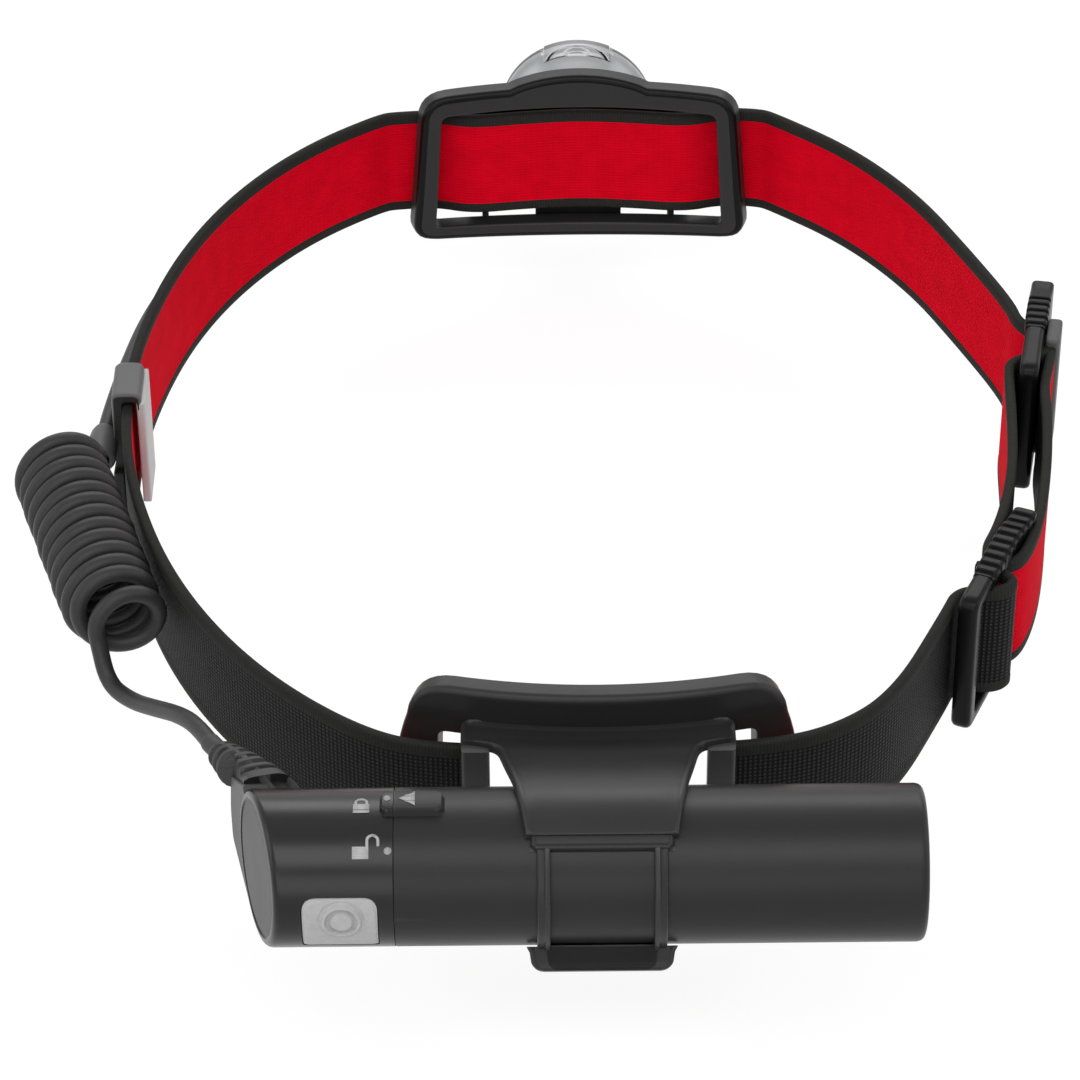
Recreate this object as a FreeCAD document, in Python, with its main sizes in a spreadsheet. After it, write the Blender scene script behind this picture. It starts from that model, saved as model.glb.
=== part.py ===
"""Headlamp with a rear battery pack: every piece is one object of a FreeCAD document.

Millimetres, +Z up, +Y to the wearer's forehead. The origin is the middle of the head opening, on the
plane that both frames stand on.
"""
import FreeCAD, Part
import math
import os
import re
from types import SimpleNamespace

import Sketcher
from FreeCAD import Placement, Rotation, Vector

DIMENSIONS = {
    # elastic strap and the loop that it makes
    "strap_height": 22, "strap_thick": 1.8, "strap_bottom": 6,
    "loop_left": 80, "loop_right": 77.5, "loop_half_length": 106, "loop_power": 2.13, "loop_rear_power": 2,
    "soft_gap": 0.3,
    # the two curved frames that lie against the head
    "frame_arc": 100, "frame_thick": 4, "frame_corner": 5, "window_corner": 1.5,
    "forehead_face": 94.2, "forehead_half_top": 30.5, "forehead_half_bottom": 33.2, "forehead_height": 34,
    "forehead_window_top": 27, "forehead_window_bottom": 28.6,
    "forehead_window_low": 2.8, "forehead_window_high": 29.6,
    "bump_half": 13.5, "bump_rise": 2.6, "bump_slope": 7,
    "nape_face": 92.7, "nape_half_top": 28, "nape_half_bottom": 28, "nape_half_middle": 32.2,
    "nape_height": 36, "nape_window_half": 25.4, "nape_window_low": 5.4, "nape_window_high": 30.4,
    # lamp base: plate on the forehead frame, ears and hinge
    "base_half": 21.5, "base_thick": 2, "base_low": 4.4, "base_high": 32.6, "base_gap": 0.3,
    "lug_half": 8.5, "lug_low": 0.8, "web_place": 18.5, "web_thick": 1.2,
    "ear_inside": 17.4, "ear_thick": 2.8, "ear_round": 5,
    "lamp_height": 15.8, "pivot_place": 111, "pin_radius": 1.5, "pin_fit": 0.05, "pin_reach": 3.4,
    "boss_radius": 4.4, "ear_fit": 0.3,
    # lamp head, measured from the pivot along the lamp's axis
    "ring_radius": 15.2, "ring_front": 7.5, "rim_depth": 1.6, "bore_radius": 11.2, "bore_start": 0.9,
    "shell_back": -4, "shell_back_radius": 8.8, "shell_waist": 12, "sink_back": -8.4, "sink_front": -2.6,
    "sink_radius": 7.4, "fin_slot": 0.8, "fin_pitch": 2.2, "board_radius": 6.8, "board_thick": 1.6,
    "emitter_half": 1.75, "emitter_thick": 0.8, "dome_radius": 1.4,
    "focus_fit": 0.08, "sleeve_wall": 0.8, "sleeve_length": 5.4, "lens_rim": 1.4, "lens_back_radius": 3.2,
    "tab_half": 6.4, "tab_thick": 1.5, "tab_length": 3, "focus_travel": 4, "stem_half": 2, "side_fit": 0.2,
    # battery pack, measured along its axis
    "pack_place": 122.62, "pack_height": "=nape_height * 2 / 3", "pack_radius": 12.25,
    "tube_end": 49.8, "joint_place": -31.8,
    "tube_edge": 1.2, "tube_bore": 10, "mouth_bore": 11, "mouth_depth": 6, "end_wall": 2,
    "cap_end": -52.6, "cap_slope": 15.64, "cap_edge": 1, "joint_gap": 0.1, "spigot_fit": 0.1,
    "cap_bore": 8.8, "cap_bore_end": -48, "tab_start_angle": 75, "tab_sweep": 24, "tab_rise": 1.1,
    "cap_tab_start": -34, "tube_tab_end": -23.9,
    "cell_radius": 9.2, "cell_length": 68, "cell_start": -25.6, "nub_radius": 3.2, "nub_height": 1.2,
    "seal_wire": 0.8, "seal_place": -28.6, "seal_fit": 0.04,
    "button_left": -45.8, "button_right": -34.3, "button_low": 17.2, "button_high": 27.8,
    "button_depth": 1.9, "button_travel": 0.8, "button_fit": 0.25, "button_proud": 0.2,
    "ring_place": -40.4, "ring_outer": 3.1, "ring_inner": 2.3, "ring_rise": 0.45, "stem_radius": 1.6,
    "board_place": 5.2, "board_half": 6, "board_edge": 0.9, "switch_half": 3, "switch_thick": 1.4,
    "contact_thick": 0.6,
    # holder that carries the pack at the nape
    "bar_inside": 17.2, "bar_outside": 21.7, "bar_front": 99.4, "bar_thick": 2.2,
    "shelf_thick": 2, "shelf_back": 103.2, "tongue_half_root": 17.5, "tongue_half_tip": 11.8,
    "tongue_angle": 117, "tongue_thick": 1.8, "step_angle": 129, "step_half": 11, "step_drop": 0.7,
    "holder_fit": 0.25, "cradle_half": 10, "cradle_thick": 2, "cradle_top": 50, "rail_inside": 7.9,
    "rail_thick": 1, "rail_end": 218, "lip_half": 12, "lip_reach": 3.6, "lip_thick": 1.8,
    # the two sliders
    "slider_length": 26, "slider_thick": 2.4, "slider_rail": 2.2, "slider_rear_bar": 3.2,
    "slider_rear_slot": 4.6, "slider_bar": 2.6, "slider_front_slot": 6, "slider_room": 0.4,
    "slider_rail_thick": 4, "ridge_pitch": 1.9, "ridge_count": 8, "ridge_depth": 0.7, "ridge_wide": 0.9,
    "slider_corner": 2.6, "stop_length": 7, "stop_thick": 3.8, "stop_over": 1,
    # cable clip
    "clip_length": 12, "clip_wall": 1.4, "clip_place": 1.5, "clip_plate": 1.2, "clip_low": 4,
    "clip_top": 2.6, "barrel_radius": 3.3, "barrel_length": 12,
    # lead
    "cord_diameter": 3.2, "coil_outer": 17, "gland_radius": 3, "gland_length": 5,
    "boot_rib": 0.8, "boot_ribs": 6,
}

doc = FreeCAD.newDocument("headlamp")
dims = doc.addObject("Spreadsheet::Sheet", "dims")
for row, (name, number) in enumerate(DIMENSIONS.items(), 1):
    dims.set(f"A{row}", name)
    dims.set(f"B{row}", str(number))
    dims.setAlias(f"B{row}", name)
doc.recompute()
v = SimpleNamespace(**{name: float(dims.get(name)) for name in DIMENSIONS})
nodes = []

TURNS = {"x": Rotation(Vector(0, 1, 0), 90), "y": Rotation(Vector(1, 0, 0), -90), "z": Rotation()}


def rule(text):
    """An expression in which each name of the sheet is looked up in the sheet."""
    return re.sub(r"[a-z_]+", lambda word: f"dims.{word[0]}" if word[0] in DIMENSIONS else word[0], str(text))


def node(item, label):
    """Marks an object as a sub-part and names it."""
    item.Label = label
    nodes.append(item)
    return item


def box(name, x, y, z):
    """A block between three pairs of rules."""
    item = doc.addObject("Part::Box", name)
    for side, place, (low, high) in (("Length", "x", x), ("Width", "y", y), ("Height", "z", z)):
        item.setExpression(side, rule(f"({high}) - ({low})"))
        item.setExpression(f"Placement.Base.{place}", rule(low))
    return item


def cylinder(name, axis, centre, radius, start, stop, sweep=None, turn=0.0):
    """A cylinder along an axis. A sweep makes it a wedge, from an angle counted from +Y towards +Z."""
    item = doc.addObject("Part::Cylinder", name)
    turned = TURNS[axis] if sweep is None else Rotation(Vector(1, 0, 0), turn + 90) * TURNS[axis]
    item.Placement = Placement(Vector(), turned)
    item.setExpression("Radius", rule(radius))
    item.setExpression("Height", rule(f"({stop}) - ({start})"))
    if sweep is not None:
        item.setExpression("Angle", rule(sweep))
    places = dict(zip([letter for letter in "xyz" if letter != axis], centre))
    for letter, place in {**places, axis: start}.items():
        item.setExpression(f"Placement.Base.{letter}", rule(place))
    return item


def cut(name, base, tool):
    item = doc.addObject("Part::Cut", name)
    item.Base, item.Tool = base, tool
    return item


def fuse(name, *items):
    item = doc.addObject("Part::MultiFuse", name)
    item.Shapes = list(items)
    return item


def common(name, *items):
    item = doc.addObject("Part::MultiCommon", name)
    item.Shapes = list(items)
    return item


def feature(name, shape):
    item = doc.addObject("Part::Feature", name)
    item.Shape = shape
    return item


def sketch(body, name, plane, *loops):
    """A sketch of closed polygons. Both places of every corner are bound to the sheet."""
    item = body.newObject("Sketcher::SketchObject", name)
    support = next(part for part in body.Origin.OriginFeatures if part.Role == plane)
    item.AttachmentSupport, item.MapMode = [(support, "")], "FlatFace"
    for corners in loops:
        first, count = item.GeometryCount, len(corners)
        turns = [2 * math.pi * step / count for step in range(count)]
        starts = [Vector(10 * math.cos(turn), 10 * math.sin(turn), 0) for turn in turns]
        item.addGeometry([Part.LineSegment(starts[i - 1], starts[i]) for i in range(count)], False)
        for i, corner in enumerate(corners):
            line, following = first + i, first + (i + 1) % count
            item.addConstraint(Sketcher.Constraint("Coincident", line, 2, following, 1))
            for kind, place, start in zip(("DistanceX", "DistanceY"), corner, starts[i]):
                index = item.addConstraint(Sketcher.Constraint(kind, -1, 1, line, 2, start or 0.01))
                item.setExpression(f"Constraints[{index}]", rule(place))
    return item


def pad(body, name, profile, length, middle=False, back=False):
    item = body.newObject("PartDesign::Pad", name)
    item.Profile, item.Midplane, item.Reversed = profile, middle, back
    item.setExpression("Length", rule(length))
    body.Tip = item
    return item


def pocket(body, name, profile):
    """A cut right through, both ways."""
    item = body.newObject("PartDesign::Pocket", name)
    item.Profile, item.Type, item.Midplane = profile, "ThroughAll", True
    body.Tip = item
    return item


def turned(name, corners):
    """A body turned about its own Z axis from a profile of radius and height."""
    body = doc.addObject("PartDesign::Body", name)
    profile = sketch(body, f"{name}_profile", "XZ_Plane", corners)
    item = body.newObject("PartDesign::Revolution", f"{name}_turn")
    item.Profile, item.ReferenceAxis, item.Angle = profile, (profile, ["V_Axis"]), 360
    body.Tip = item
    return body


def rounded(name, base, radius, chosen):
    """Rounds the chosen edges of a finished object."""
    doc.recompute()
    item = doc.addObject("Part::Fillet", name)
    item.Base = base
    item.Edges = [(i, radius, radius) for i, edge in enumerate(base.Shape.Edges, 1) if chosen(edge)]
    return item


def along(edge, letter):
    """True for a straight edge along an axis."""
    if not isinstance(edge.Curve, Part.Line):
        return False
    return abs(getattr(edge.Curve.Direction, letter)) > 0.999


# ---- curved frames -------------------------------------------------------------------------------

def curved_frame(label, outside, window, face, way):
    """A plate with a window, bent about a vertical axis. way is 1 in front and -1 at the nape."""
    body = doc.addObject("PartDesign::Body", f"{label}_plate")
    plate = pad(body, f"{label}_pad", sketch(body, f"{label}_outline", "XZ_Plane", outside), "frame_arc * 4",
                middle=True)
    doc.recompute()
    corners = body.newObject("PartDesign::Fillet", f"{label}_corners")
    corners.Base = (plate, [f"Edge{i}" for i, edge in enumerate(plate.Shape.Edges, 1) if along(edge, "y")])
    corners.setExpression("Radius", rule("frame_corner"))
    opening = pocket(body, f"{label}_window", sketch(body, f"{label}_window_outline", "XZ_Plane", window))
    doc.recompute()
    before = {tuple(round(c, 3) for c in vertex.Point) for vertex in corners.Shape.Vertexes}
    inner = [f"Edge{i}" for i, edge in enumerate(opening.Shape.Edges, 1) if along(edge, "y")
             and tuple(round(c, 3) for c in edge.Vertexes[0].Point) not in before]
    softened = body.newObject("PartDesign::Fillet", f"{label}_window_corners")
    softened.Base = (opening, inner)
    softened.setExpression("Radius", rule("window_corner"))
    body.Tip = softened
    centre = ("0", f"{way} * ({face} - frame_arc)")
    outer = cylinder(f"{label}_outside", "z", centre, "frame_arc + frame_thick", "-1", "frame_arc")
    inside = cylinder(f"{label}_inside", "z", centre, "frame_arc", "-2", "frame_arc + 1")
    half = box(f"{label}_half", ("-frame_arc", "frame_arc"), ("0", f"{way} * 2 * frame_arc") if way > 0 else
               ("-2 * frame_arc", "0"), ("-1", "frame_arc"))
    shell = common(f"{label}_shell", cut(f"{label}_ring", outer, inside), half)
    bent = common(f"{label}_bent", body, shell)
    return node(bent, label)


def mirrored(right):
    """A closed outline from the corners of its right half, from the bottom up."""
    return right + [(f"-({x})", z) for x, z in reversed(right)]


def make_forehead_frame():
    outside = mirrored([
        ("forehead_half_bottom", "0"), ("forehead_half_top", "forehead_height"),
        ("bump_half", "forehead_height"), ("bump_half - bump_slope", "forehead_height + bump_rise")])
    window = mirrored([("forehead_window_bottom", "forehead_window_low"),
                       ("forehead_window_top", "forehead_window_high")])
    return curved_frame("forehead_frame", outside, window, "forehead_face", 1)


def make_nape_frame():
    outside = mirrored([("nape_half_bottom", "0"), ("nape_half_middle", "nape_height * 0.4"),
                        ("nape_half_middle", "nape_height * 0.6"), ("nape_half_top", "nape_height")])
    window = mirrored([("nape_window_half", "nape_window_low"), ("nape_window_half", "nape_window_high")])
    return curved_frame("nape_frame", outside, window, "nape_face", -1)


# ---- lamp base and hinge -------------------------------------------------------------------------

def make_lamp_base():
    """A plate on the front of the forehead frame, with two ears that hold the lamp head."""
    front = "forehead_face + frame_thick + base_gap"
    plate = box("base_plate", ("-base_half", "base_half"), (front, f"{front} + base_thick"),
                ("base_low", "base_high"))
    lug = box("base_lug", ("-lug_half", "lug_half"), (front, f"{front} + base_thick"),
              ("lug_low", "base_low"))
    parts = [plate, lug]
    for side in (-1, 1):
        web_side, ear_side = f"{side} * web_place", f"{side} * (ear_inside + ear_thick / 2)"
        parts.append(box("base_web", (f"{web_side} - web_thick / 2", f"{web_side} + web_thick / 2"),
                         (front, f"{front} + base_thick"), ("lug_low", "base_low")))
        parts.append(box("base_ear", (f"{ear_side} - ear_thick / 2", f"{ear_side} + ear_thick / 2"),
                         (front, "pivot_place"), ("lamp_height - ear_round", "lamp_height + ear_round")))
        parts.append(cylinder("base_ear_end", "x", ("pivot_place", "lamp_height"), "ear_round",
                              f"{ear_side} - ear_thick / 2", f"{ear_side} + ear_thick / 2"))
    solid = fuse("base_solid", *parts)
    holes = cylinder("base_holes", "x", ("pivot_place", "lamp_height"), "pin_radius",
                     "-base_half", "base_half")
    node(cut("base", solid, holes), "lamp_base")


def make_hinge_pins():
    """Two short pins, held by the ears, that turn in the bosses of the lamp head."""
    reach, outside = "ear_inside - pin_reach", "ear_inside + ear_thick"
    centre = ("pivot_place", "lamp_height")
    pins = [cylinder("pin", "x", centre, "pin_radius", start, stop)
            for start, stop in ((reach, outside), (f"-({outside})", f"-({reach})"))]
    node(fuse("pins", *pins), "hinge_pins")


# ---- lamp head -----------------------------------------------------------------------------------

def on_lamp(item):
    """Lays a turned piece along the lamp's axis, with its zero at the pivot."""
    item.Placement = Placement(Vector(), TURNS["y"])
    item.setExpression("Placement.Base.y", rule("pivot_place"))
    item.setExpression("Placement.Base.z", rule("lamp_height"))
    return item


def lamp_cylinder(name, radius, start, stop):
    return cylinder(name, "y", ("0", "lamp_height"), radius, f"pivot_place + {start}",
                    f"pivot_place + {stop}")


def make_lamp_housing():
    bell = on_lamp(turned("bell", [
        ("sink_radius + side_fit", "shell_back"), ("shell_back_radius", "shell_back"),
        ("shell_waist", "0"), ("shell_waist + 2.2", "ring_front - 5"),
        ("ring_radius", "ring_front - 3.4"), ("ring_radius", "ring_front - rim_depth"),
        ("bore_radius", "ring_front - rim_depth"), ("bore_radius", "bore_start"),
        ("sink_radius + side_fit", "bore_start")]))
    bosses = [cylinder("hinge_boss", "x", ("pivot_place", "lamp_height"), "boss_radius", start, stop)
              for start, stop in (("shell_waist - 2.4", "ear_inside - ear_fit"),
                                  ("ear_fit - ear_inside", "2.4 - shell_waist"))]
    hollow = lamp_cylinder("bell_hollow", "bore_radius", "bore_start", "ring_front")
    rear = lamp_cylinder("bell_rear", "sink_radius + side_fit", "shell_back", "bore_start")
    solid = cut("bell_clear", cut("bell_open", fuse("bell_solid", bell, *bosses), hollow), rear)
    holes = cylinder("bell_holes", "x", ("pivot_place", "lamp_height"), "pin_radius + pin_fit",
                     "-ear_inside", "ear_inside")
    slot = box("tab_slot", ("-tab_half - side_fit", "tab_half + side_fit"),
               ("pivot_place + ring_front - rim_depth - tab_length - side_fit", "pivot_place + ring_front"),
               ("lamp_height + bore_radius - 2.3", "lamp_height + ring_radius + 1"))
    node(cut("bell_slotted", cut("bell_drilled", solid, holes), slot), "lamp_housing")


def make_heat_sink():
    """The dark rear of the lamp head, with a row of upright slots."""
    plug = on_lamp(turned("sink_plug", [
        ("0", "sink_back"), ("sink_radius * 0.45", "sink_back"), ("sink_radius * 0.85", "sink_back + 1.5"),
        ("sink_radius", "sink_back + 3.2"), ("sink_radius", "sink_front"), ("0", "sink_front")]))
    slots = [box("fin_gap", (f"{step} * fin_pitch - fin_slot / 2", f"{step} * fin_pitch + fin_slot / 2"),
                 ("pivot_place + sink_back - 1", "pivot_place + sink_back + 2.4"),
                 ("lamp_height - sink_radius", "lamp_height + sink_radius")) for step in (-2, -1, 0, 1, 2)]
    node(cut("sink", plug, fuse("fin_gaps", *slots)), "heat_sink")


def make_light_source():
    board_front = "sink_front + board_thick"
    node(lamp_cylinder("board_disc", "board_radius", "sink_front", f"({board_front})"), "led_board")
    square = ("-emitter_half", "emitter_half")
    base = box("emitter_base", square, (f"pivot_place + {board_front}",
               f"pivot_place + {board_front} + emitter_thick"),
               ("lamp_height - emitter_half", "lamp_height + emitter_half"))
    dome = on_lamp(turned("emitter_dome", [
        ("0", f"{board_front} + emitter_thick / 2"), ("dome_radius", f"{board_front} + emitter_thick / 2"),
        ("dome_radius * 0.8", f"{board_front} + emitter_thick + dome_radius * 0.5"),
        ("dome_radius * 0.4", f"{board_front} + emitter_thick + dome_radius * 0.8"),
        ("0", f"{board_front} + emitter_thick + dome_radius * 0.9")]))
    node(fuse("emitter", base, dome), "led_emitter")


def make_focus():
    """The sleeve, its lens, the finger tab on top and the rim in front. The first three slide."""
    outside, front = "bore_radius - focus_fit", "ring_front - 0.3"
    back = f"{front} - sleeve_length"
    inside = f"{outside} - sleeve_wall"
    sleeve = on_lamp(turned("sleeve", [(inside, back), (outside, back), (outside, front), (inside, front)]))
    node(sleeve, "lens_carrier")
    node(on_lamp(turned("lens", [
        ("0", f"{back} + 2.6"), ("lens_back_radius", f"{back} + 2.2"), ("lens_back_radius", f"{back} + 0.4"),
        ("lens_back_radius + 0.8", f"{back} + 0.4"), (inside, f"{front} - lens_rim - 0.4"),
        (inside, f"{front} - 0.4"), ("bore_radius * 0.5", f"{front} + 0.1"), ("0", f"{front} + 0.2")])),
        "focus_lens")
    tab_front = "pivot_place + ring_front - rim_depth - side_fit"
    block = box("tab_block", ("-tab_half", "tab_half"), (f"{tab_front} - tab_length + side_fit", tab_front),
                ("lamp_height + bore_radius - 2", "lamp_height + ring_radius + tab_thick"))
    ring = cut("tab_ring", lamp_cylinder("tab_outside", "ring_radius + tab_thick * 0.4",
                                         "ring_front - rim_depth - tab_length", "ring_front"),
               lamp_cylinder("tab_inside", outside, "0", "ring_front + 1"))
    node(common("tab", block, ring), "focus_tab")
    rim = on_lamp(turned("rim", [
        ("bore_radius", "ring_front - rim_depth"), ("ring_radius", "ring_front - rim_depth"),
        ("ring_radius", "ring_front - 0.5"), ("ring_radius - 0.6", "ring_front"),
        ("bore_radius", "ring_front")]))
    gap = box("rim_gap", ("-tab_half - side_fit", "tab_half + side_fit"),
              ("pivot_place + ring_front - rim_depth - 1", "pivot_place + ring_front + 1"),
              ("lamp_height + bore_radius - 2.3", "lamp_height + ring_radius + 1"))
    node(cut("rim_open", rim, gap), "bezel_ring")


# ---- battery pack --------------------------------------------------------------------------------

PACK = ("-pack_place", "pack_height")


def pack_cylinder(name, radius, start, stop, **wedge):
    return cylinder(name, "x", PACK, radius, start, stop, **wedge)


def pack_sector(name, inside, outside, start, stop, turn, sweep):
    """A piece of a tube about the pack's axis."""
    outer = pack_cylinder(f"{name}_outer", outside, start, stop, sweep=sweep, turn=turn)
    return cut(name, outer, pack_cylinder(f"{name}_inner", inside, f"({start}) - 1", f"({stop}) + 1"))


def make_battery_tube():
    shell = pack_cylinder("tube_solid", "pack_radius", "joint_place + joint_gap", "tube_end")
    shell = rounded("tube_rounded", shell, v.tube_edge, lambda edge: isinstance(edge.Curve, Part.Circle)
                    and edge.BoundBox.XMin > v.tube_end - 0.1)
    arrow = pack_sector("tube_tab", "pack_radius - 1", "pack_radius + tab_rise", "joint_place + joint_gap",
                        "tube_tab_end", v.tab_start_angle, "tab_sweep")
    bore = pack_cylinder("tube_hollow", "tube_bore", "joint_place", "tube_end - end_wall")
    mouth = pack_cylinder("tube_mouth", "mouth_bore", "joint_place", "joint_place + mouth_depth")
    node(cut("tube", fuse("tube_outside", shell, arrow), fuse("tube_inside", bore, mouth)), "battery_tube")


def make_battery_cap():
    """The left end of the pack: slanted end, spigot for the tube, room for the board and the button."""
    far = "cap_end - pack_radius"
    solid = pack_cylinder("cap_solid", "pack_radius", far, "joint_place")
    reach = 4 * v.pack_radius
    slant = feature("cap_slant", Part.makeBox(reach, 2 * reach, 2 * reach, Vector(-reach, -reach, -reach)))
    slant.Placement = Placement(Vector(v.cap_end, -v.pack_place, v.pack_height),
                                Rotation(Vector(0, 0, 1), v.cap_slope))
    body = cut("cap_slanted", solid, slant)
    body = rounded("cap_rounded", body, v.cap_edge, lambda edge: edge.BoundBox.XMax < v.cap_end + 5)
    dot_tab = pack_sector("cap_tab", "pack_radius - 1", "pack_radius + tab_rise", "cap_tab_start",
                          "joint_place", v.tab_start_angle, "tab_sweep")
    spigot = pack_cylinder("cap_spigot", "mouth_bore - spigot_fit", "joint_place - 1",
                           "joint_place + mouth_depth - spigot_fit")
    bore = pack_cylinder("cap_hollow", "cap_bore", "cap_bore_end", "joint_place + mouth_depth")
    groove = cut("seal_groove",
                 pack_cylinder("groove_outer", "mouth_bore", "seal_place - seal_wire * 1.1",
                               "seal_place + seal_wire * 1.1"),
                 pack_cylinder("groove_inner", "mouth_bore - seal_fit - seal_wire * 2", "seal_place - 3",
                               "seal_place + 3"))
    recess = box("button_recess", ("button_left - button_fit", "button_right + button_fit"),
                 ("-pack_place - pack_radius - 1", "button_depth - pack_place - pack_radius + button_travel"),
                 ("button_low - button_fit", "button_high + button_fit"))
    hole = cylinder("stem_hole", "y", ("ring_place", "pack_height"), "stem_radius + button_fit",
                    "-pack_place - pack_radius", "-pack_place - board_place")
    inside = fuse("cap_inside", bore, groove, recess, hole)
    node(cut("cap", fuse("cap_outside", body, dot_tab, spigot), inside), "battery_cap")


def make_switch():
    """Silicone button with a raised ring, and the board behind it with its tact switch."""
    back = "button_depth - pack_place - pack_radius"
    plate = common("button_plate",
                   pack_cylinder("button_round", "pack_radius + button_proud", "button_left", "button_right"),
                   box("button_block", ("button_left", "button_right"),
                       ("-pack_place - pack_radius - 1", back), ("button_low", "button_high")))
    front = "-pack_place - pack_radius - button_proud"
    ring = cut("button_ring",
               cylinder("ring_outer_face", "y", ("ring_place", "pack_height"), "ring_outer",
                        f"{front} - ring_rise", f"{front} + 1"),
               cylinder("ring_inner_face", "y", ("ring_place", "pack_height"), "ring_inner",
                        f"{front} - 1", f"{front} + 0.2"))
    switch_front = "-pack_place - board_place - board_edge - switch_thick"
    stem = cylinder("button_stem", "y", ("ring_place", "pack_height"), "stem_radius",
                    f"{front} + 0.5", f"{switch_front} - button_travel - 0.1")
    node(fuse("button", plate, ring, stem), "switch_button")
    square = ("ring_place - switch_half", "ring_place + switch_half")
    node(box("tact", square, (switch_front, "-pack_place - board_place - board_edge"),
             ("pack_height - switch_half", "pack_height + switch_half")), "tact_switch")
    node(box("board", ("cap_bore_end + 0.2", "joint_place"),
             ("-pack_place - board_place - board_edge", "-pack_place - board_place"),
             ("pack_height - board_half", "pack_height + board_half")), "control_board")


def make_power_train():
    """Seal, cell and contacts inside the tube."""
    seal = doc.addObject("Part::Torus", "seal")
    seal.Placement = Placement(Vector(), TURNS["x"])
    seal.setExpression("Radius1", rule("mouth_bore - seal_fit - seal_wire"))
    seal.setExpression("Radius2", rule("seal_wire"))
    for letter, place in zip("xyz", ("seal_place", *PACK)):
        seal.setExpression(f"Placement.Base.{letter}", rule(place))
    node(seal, "tube_seal")
    cell_end = "cell_start + cell_length"
    node(fuse("cell", pack_cylinder("cell_can", "cell_radius", "cell_start + nub_height", cell_end),
              pack_cylinder("cell_nub", "nub_radius", "cell_start", "cell_start + nub_height")),
         "battery_cell")
    node(pack_cylinder("contact", "cap_bore", "cell_start - contact_thick", "cell_start"), "front_contact")
    spring_end, strip = "tube_end - end_wall", "contact_thick"
    leaf = fuse("leaf", pack_cylinder("leaf_disc", "tube_bore - side_fit", f"{spring_end} - {strip}",
                                      spring_end),
                pack_cylinder("leaf_post", "nub_radius", cell_end, spring_end))
    node(leaf, "tail_contact")


# ---- holder --------------------------------------------------------------------------------------

def make_pack_holder():
    """Shelves and bars on the nape frame, and the tongue that reaches over the tube."""
    frame_back = "nape_face + frame_thick"
    bars = [box("slot_bar", (f"{low}", f"{high}"), ("-bar_front - bar_thick", "-bar_front"),
                ("0.5", "nape_height"))
            for low, high in (("bar_inside", "bar_outside"), ("-bar_outside", "-bar_inside"))]
    shelves = [box("shelf", ("-bar_outside", "bar_outside"), ("-shelf_back", f"-({frame_back}) + 4"), heights)
               for heights in (("nape_height - shelf_thick", "nape_height"), ("0.5", "0.5 + shelf_thick"))]
    clearance = cylinder("nape_clearance", "z", ("0", "frame_arc - nape_face"), "frame_arc + frame_thick",
                         "-1", "nape_height + 1")
    body = cut("bracket", fuse("bracket_solid", *bars, *shelves), clearance)
    inside = v.pack_radius + v.holder_fit
    outside = inside + v.tongue_thick
    root, centre = Vector(0, -v.shelf_back, v.nape_height), Vector(0, -v.pack_place, v.pack_height)

    def on_pack(radius, angle):
        spread = math.radians(angle)
        return centre + Vector(0, radius * math.cos(spread), radius * math.sin(spread))

    start = v.cradle_top
    low = [on_pack(inside, angle) for angle in (start, (start + v.tongue_angle) / 2, v.tongue_angle)]
    high = [on_pack(outside, angle) for angle in (v.tongue_angle, 96, 84)]
    back = root + Vector(0, 2, 0)
    edges = [Part.Arc(*low).toShape(), Part.LineSegment(low[2], high[0]).toShape(),
             Part.Arc(*high).toShape()]
    dip = (high[2] + back) / 2 + Vector(0, 0, -1.2)
    edges.append(Part.Arc(high[2], dip, back).toShape())
    foot = back - Vector(0, 0, v.shelf_thick)
    knee = on_pack(inside + v.cradle_thick, start)
    for near, far in ((back, foot), (foot, knee), (knee, low[0])):
        edges.append(Part.LineSegment(near, far).toShape())
    side = Part.Face(Part.Wire(edges))
    side.translate(Vector(-v.bar_outside, 0, 0))
    sweep = side.extrude(Vector(2 * v.bar_outside, 0, 0))
    tip = on_pack(outside, v.tongue_angle).y - 0.2
    plan = [(v.tongue_half_root, root.y + 2.1), (v.tongue_half_root, root.y),
            (v.tongue_half_tip, tip), (-v.tongue_half_tip, tip), (-v.tongue_half_root, root.y),
            (-v.tongue_half_root, root.y + 2.1)]
    plan = Part.Face(Part.makePolygon([Vector(x, y, 0) for x, y in plan + plan[:1]]))
    tongue = feature("tongue", sweep.common(plan.extrude(Vector(0, 0, 60))))
    step = pack_sector("tongue_step", "pack_radius + holder_fit", "pack_radius + holder_fit + tongue_thick "
                       "- step_drop", "-step_half", "step_half", v.tongue_angle - 2,
                       "step_angle - tongue_angle + 2")
    node(fuse("holder", body, tongue, step), "pack_holder")


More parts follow.
